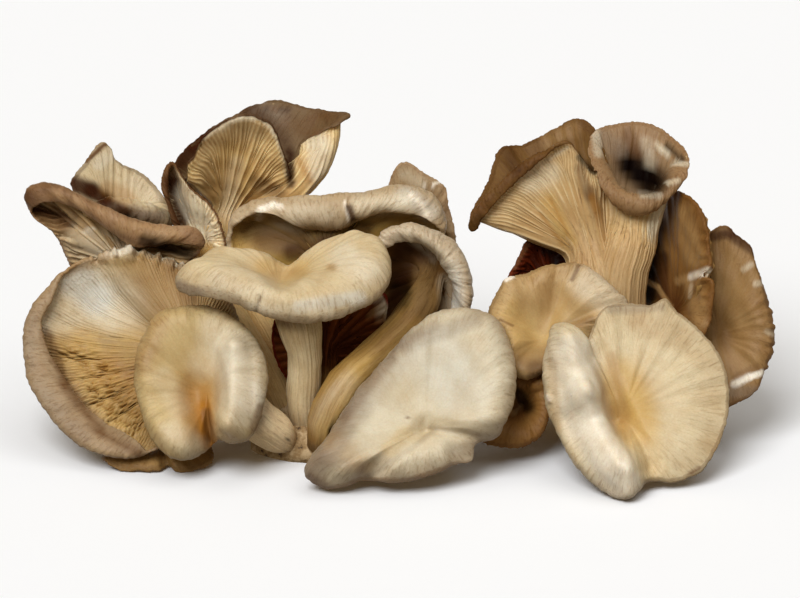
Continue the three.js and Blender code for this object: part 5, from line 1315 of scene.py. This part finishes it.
class StageSettings(bpy.types.PropertyGroup):
    """The floor, the lights and the camera."""

    floor_colour: bpy.props.FloatVectorProperty(
        name="Floor colour", description="Colour of the floor", default=(0.9, 0.92, 0.95), min=0, max=1,
        size=3, subtype="COLOR")
    floor_side: bpy.props.FloatProperty(
        name="Floor", description="Side of the square floor", default=6.0, unit="LENGTH")
    key_power: bpy.props.FloatProperty(
        name="Window", description="Strength of the daylight from the front", default=2.6)
    fill_power: bpy.props.FloatProperty(
        name="Ceiling", description="Strength of the light from above", default=0.8)
    sky: bpy.props.FloatProperty(
        name="Sky", description="Brightness of the even light all round", default=0.22)
    sky_colour: bpy.props.FloatVectorProperty(
        name="Sky colour", description="Colour of the even light", default=(1.0, 0.86, 0.66), min=0, max=1,
        size=3, subtype="COLOR")
    view_width: bpy.props.FloatProperty(
        name="View width", description="How much the camera sees from side to side", default=0.32,
        unit="LENGTH")
    distance: bpy.props.FloatProperty(
        name="Camera distance", description="From the cluster to the camera", default=3.0, unit="LENGTH")


SLOTS = {
    "pale_mushroom": ("left_large", "left_low", "left_shelf", "front_fan", "centre_funnel", "right_fan",
                      "right_shelf"),
    "tan_mushroom": ("left_trumpet", "left_fold", "left_petal", "centre_flap", "right_trumpets",
                     "centre_shelf", "inner_bud"),
    "brown_mushroom": ("left_rolled", "left_bud", "right_side", "right_outer", "right_back_bud",
                       "right_low_bud"),
}
GROWN_TOGETHER = {"right_trumpets": ("right_trumpet", "right_twin")}


def settle(piece, node_name):
    """Ties a finished piece to the frame: it rides on the root and stands for its node."""
    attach(piece, "root")
    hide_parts(node_name)


class MUSHROOM_OT_caps(bpy.types.Operator):
    """Builds every mushroom of the cluster"""

    bl_idname = "mushroom.caps"
    bl_label = "Mushrooms"

    def execute(self, context):
        """Makes one mesh for each node."""
        settings = context.scene.mushroom_settings
        for slot, names in SLOTS.items():
            material = mushroom_flesh(slot, settings.skin_roughness, settings.streaks, settings.mottle)
            for name in names:
                specs = [MUSHROOMS[part] for part in GROWN_TOGETHER.get(name, (name,))]
                piece = mushroom_mesh(f"{name}_flesh", specs, material, settings.gill_height)
                settle(piece, f"mushroom_{name}")
        return {"FINISHED"}


class MUSHROOM_OT_clump(bpy.types.Operator):
    """Builds the base clump"""

    bl_idname = "mushroom.clump"
    bl_label = "Base clump"

    def execute(self, context):
        """Makes the clump's mesh."""
        settle(clump_mesh("straw_and_roots", clump_material()), "base_clump")
        return {"FINISHED"}


def aim(thing, place, target):
    """Puts a light or the camera at a place, looking at a target."""
    thing.location = place
    thing.rotation_euler = (Vector(target) - Vector(place)).to_track_quat("-Z", "Y").to_euler()


def sun_light(name, power, spread, place):
    """Daylight that falls from a place toward the middle, as wide as spread in degrees."""
    data = bpy.data.lights.new(name, "SUN")
    data.angle = math.radians(spread)
    data.energy = power
    light = bpy.data.objects.new(name, data)
    bpy.context.scene.collection.objects.link(light)
    aim(light, place, (0, 0, 0))


VIEW_HEIGHT = 65.2  # mm up in the leaning frame, where the camera looks
SENSOR = 36  # mm


class MUSHROOM_OT_stage(bpy.types.Operator):
    """Builds the floor, the lights and the camera"""

    bl_idname = "mushroom.stage"
    bl_label = "Stage"

    def execute(self, context):
        """The camera looks along the lean from the front, at the middle of the cluster."""
        settings = context.scene.stage_settings
        scene = context.scene
        corners = np.array(((-1, -1, 0), (1, -1, 0), (1, 1, 0), (-1, 1, 0))) * settings.floor_side / 2 / MM
        floor = make_mesh("floor", corners + REST_POINT, np.array([[0, 1, 2, 3]]), np.zeros((0, 3), int),
                          material=paper_material(settings.floor_colour))
        floor.visible_diffuse = False  # no light bounces off the floor onto the mushrooms
        world = bpy.data.worlds.new("even_light")
        world.use_nodes = True
        background = world.node_tree.nodes["Background"]
        background.inputs["Color"].default_value = (*settings.sky_colour, 1)
        background.inputs["Strength"].default_value = settings.sky
        scene.world = world
        sun_light("window", settings.key_power, 35, (-0.35, -0.75, 0.95))
        sun_light("ceiling", settings.fill_power, 60, (0.25, -0.2, 1.0))
        target = (upright((0, VIEW_HEIGHT, 0)) - REST_POINT) * MM
        camera = bpy.data.objects.new("camera", bpy.data.cameras.new("camera"))
        camera.data.sensor_width = SENSOR
        camera.data.lens = SENSOR * settings.distance / settings.view_width
        camera.data.clip_end = 20
        scene.collection.objects.link(camera)
        aim(camera, tuple(target + TO_FRONT * settings.distance), tuple(target))
        scene.camera = camera
        scene.view_settings.view_transform = "Standard"
        return {"FINISHED"}


class MUSHROOM_PT_panel(bpy.types.Panel):
    """Lists the steps in the sidebar"""

    bl_label = "Oyster mushrooms"
    bl_idname = "MUSHROOM_PT_panel"
    bl_space_type = "VIEW_3D"
    bl_region_type = "UI"
    bl_category = "Mushrooms"

    def draw(self, context):
        """Buttons for the steps, and the sizes and colours."""
        for step in ("mushroom.caps", "mushroom.clump", "mushroom.stage"):
            self.layout.operator(step)
        for group in (context.scene.mushroom_settings, context.scene.stage_settings):
            for name in group.__annotations__:
                self.layout.prop(group, name)


CLASSES = (MushroomSettings, StageSettings, MUSHROOM_OT_caps, MUSHROOM_OT_clump, MUSHROOM_OT_stage,
           MUSHROOM_PT_panel)


def register():
    """Adds the classes and their settings."""
    for cls in CLASSES:
        bpy.utils.register_class(cls)
    bpy.types.Scene.mushroom_settings = bpy.props.PointerProperty(type=MushroomSettings)
    bpy.types.Scene.stage_settings = bpy.props.PointerProperty(type=StageSettings)


def unregister():
    """Takes them away."""
    del bpy.types.Scene.stage_settings
    del bpy.types.Scene.mushroom_settings
    for cls in reversed(CLASSES):
        bpy.utils.unregister_class(cls)


def main():
    """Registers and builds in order."""
    register()
    bpy.ops.mushroom.caps()
    bpy.ops.mushroom.clump()
    bpy.ops.mushroom.stage()


if __name__ == "__main__":
    main()
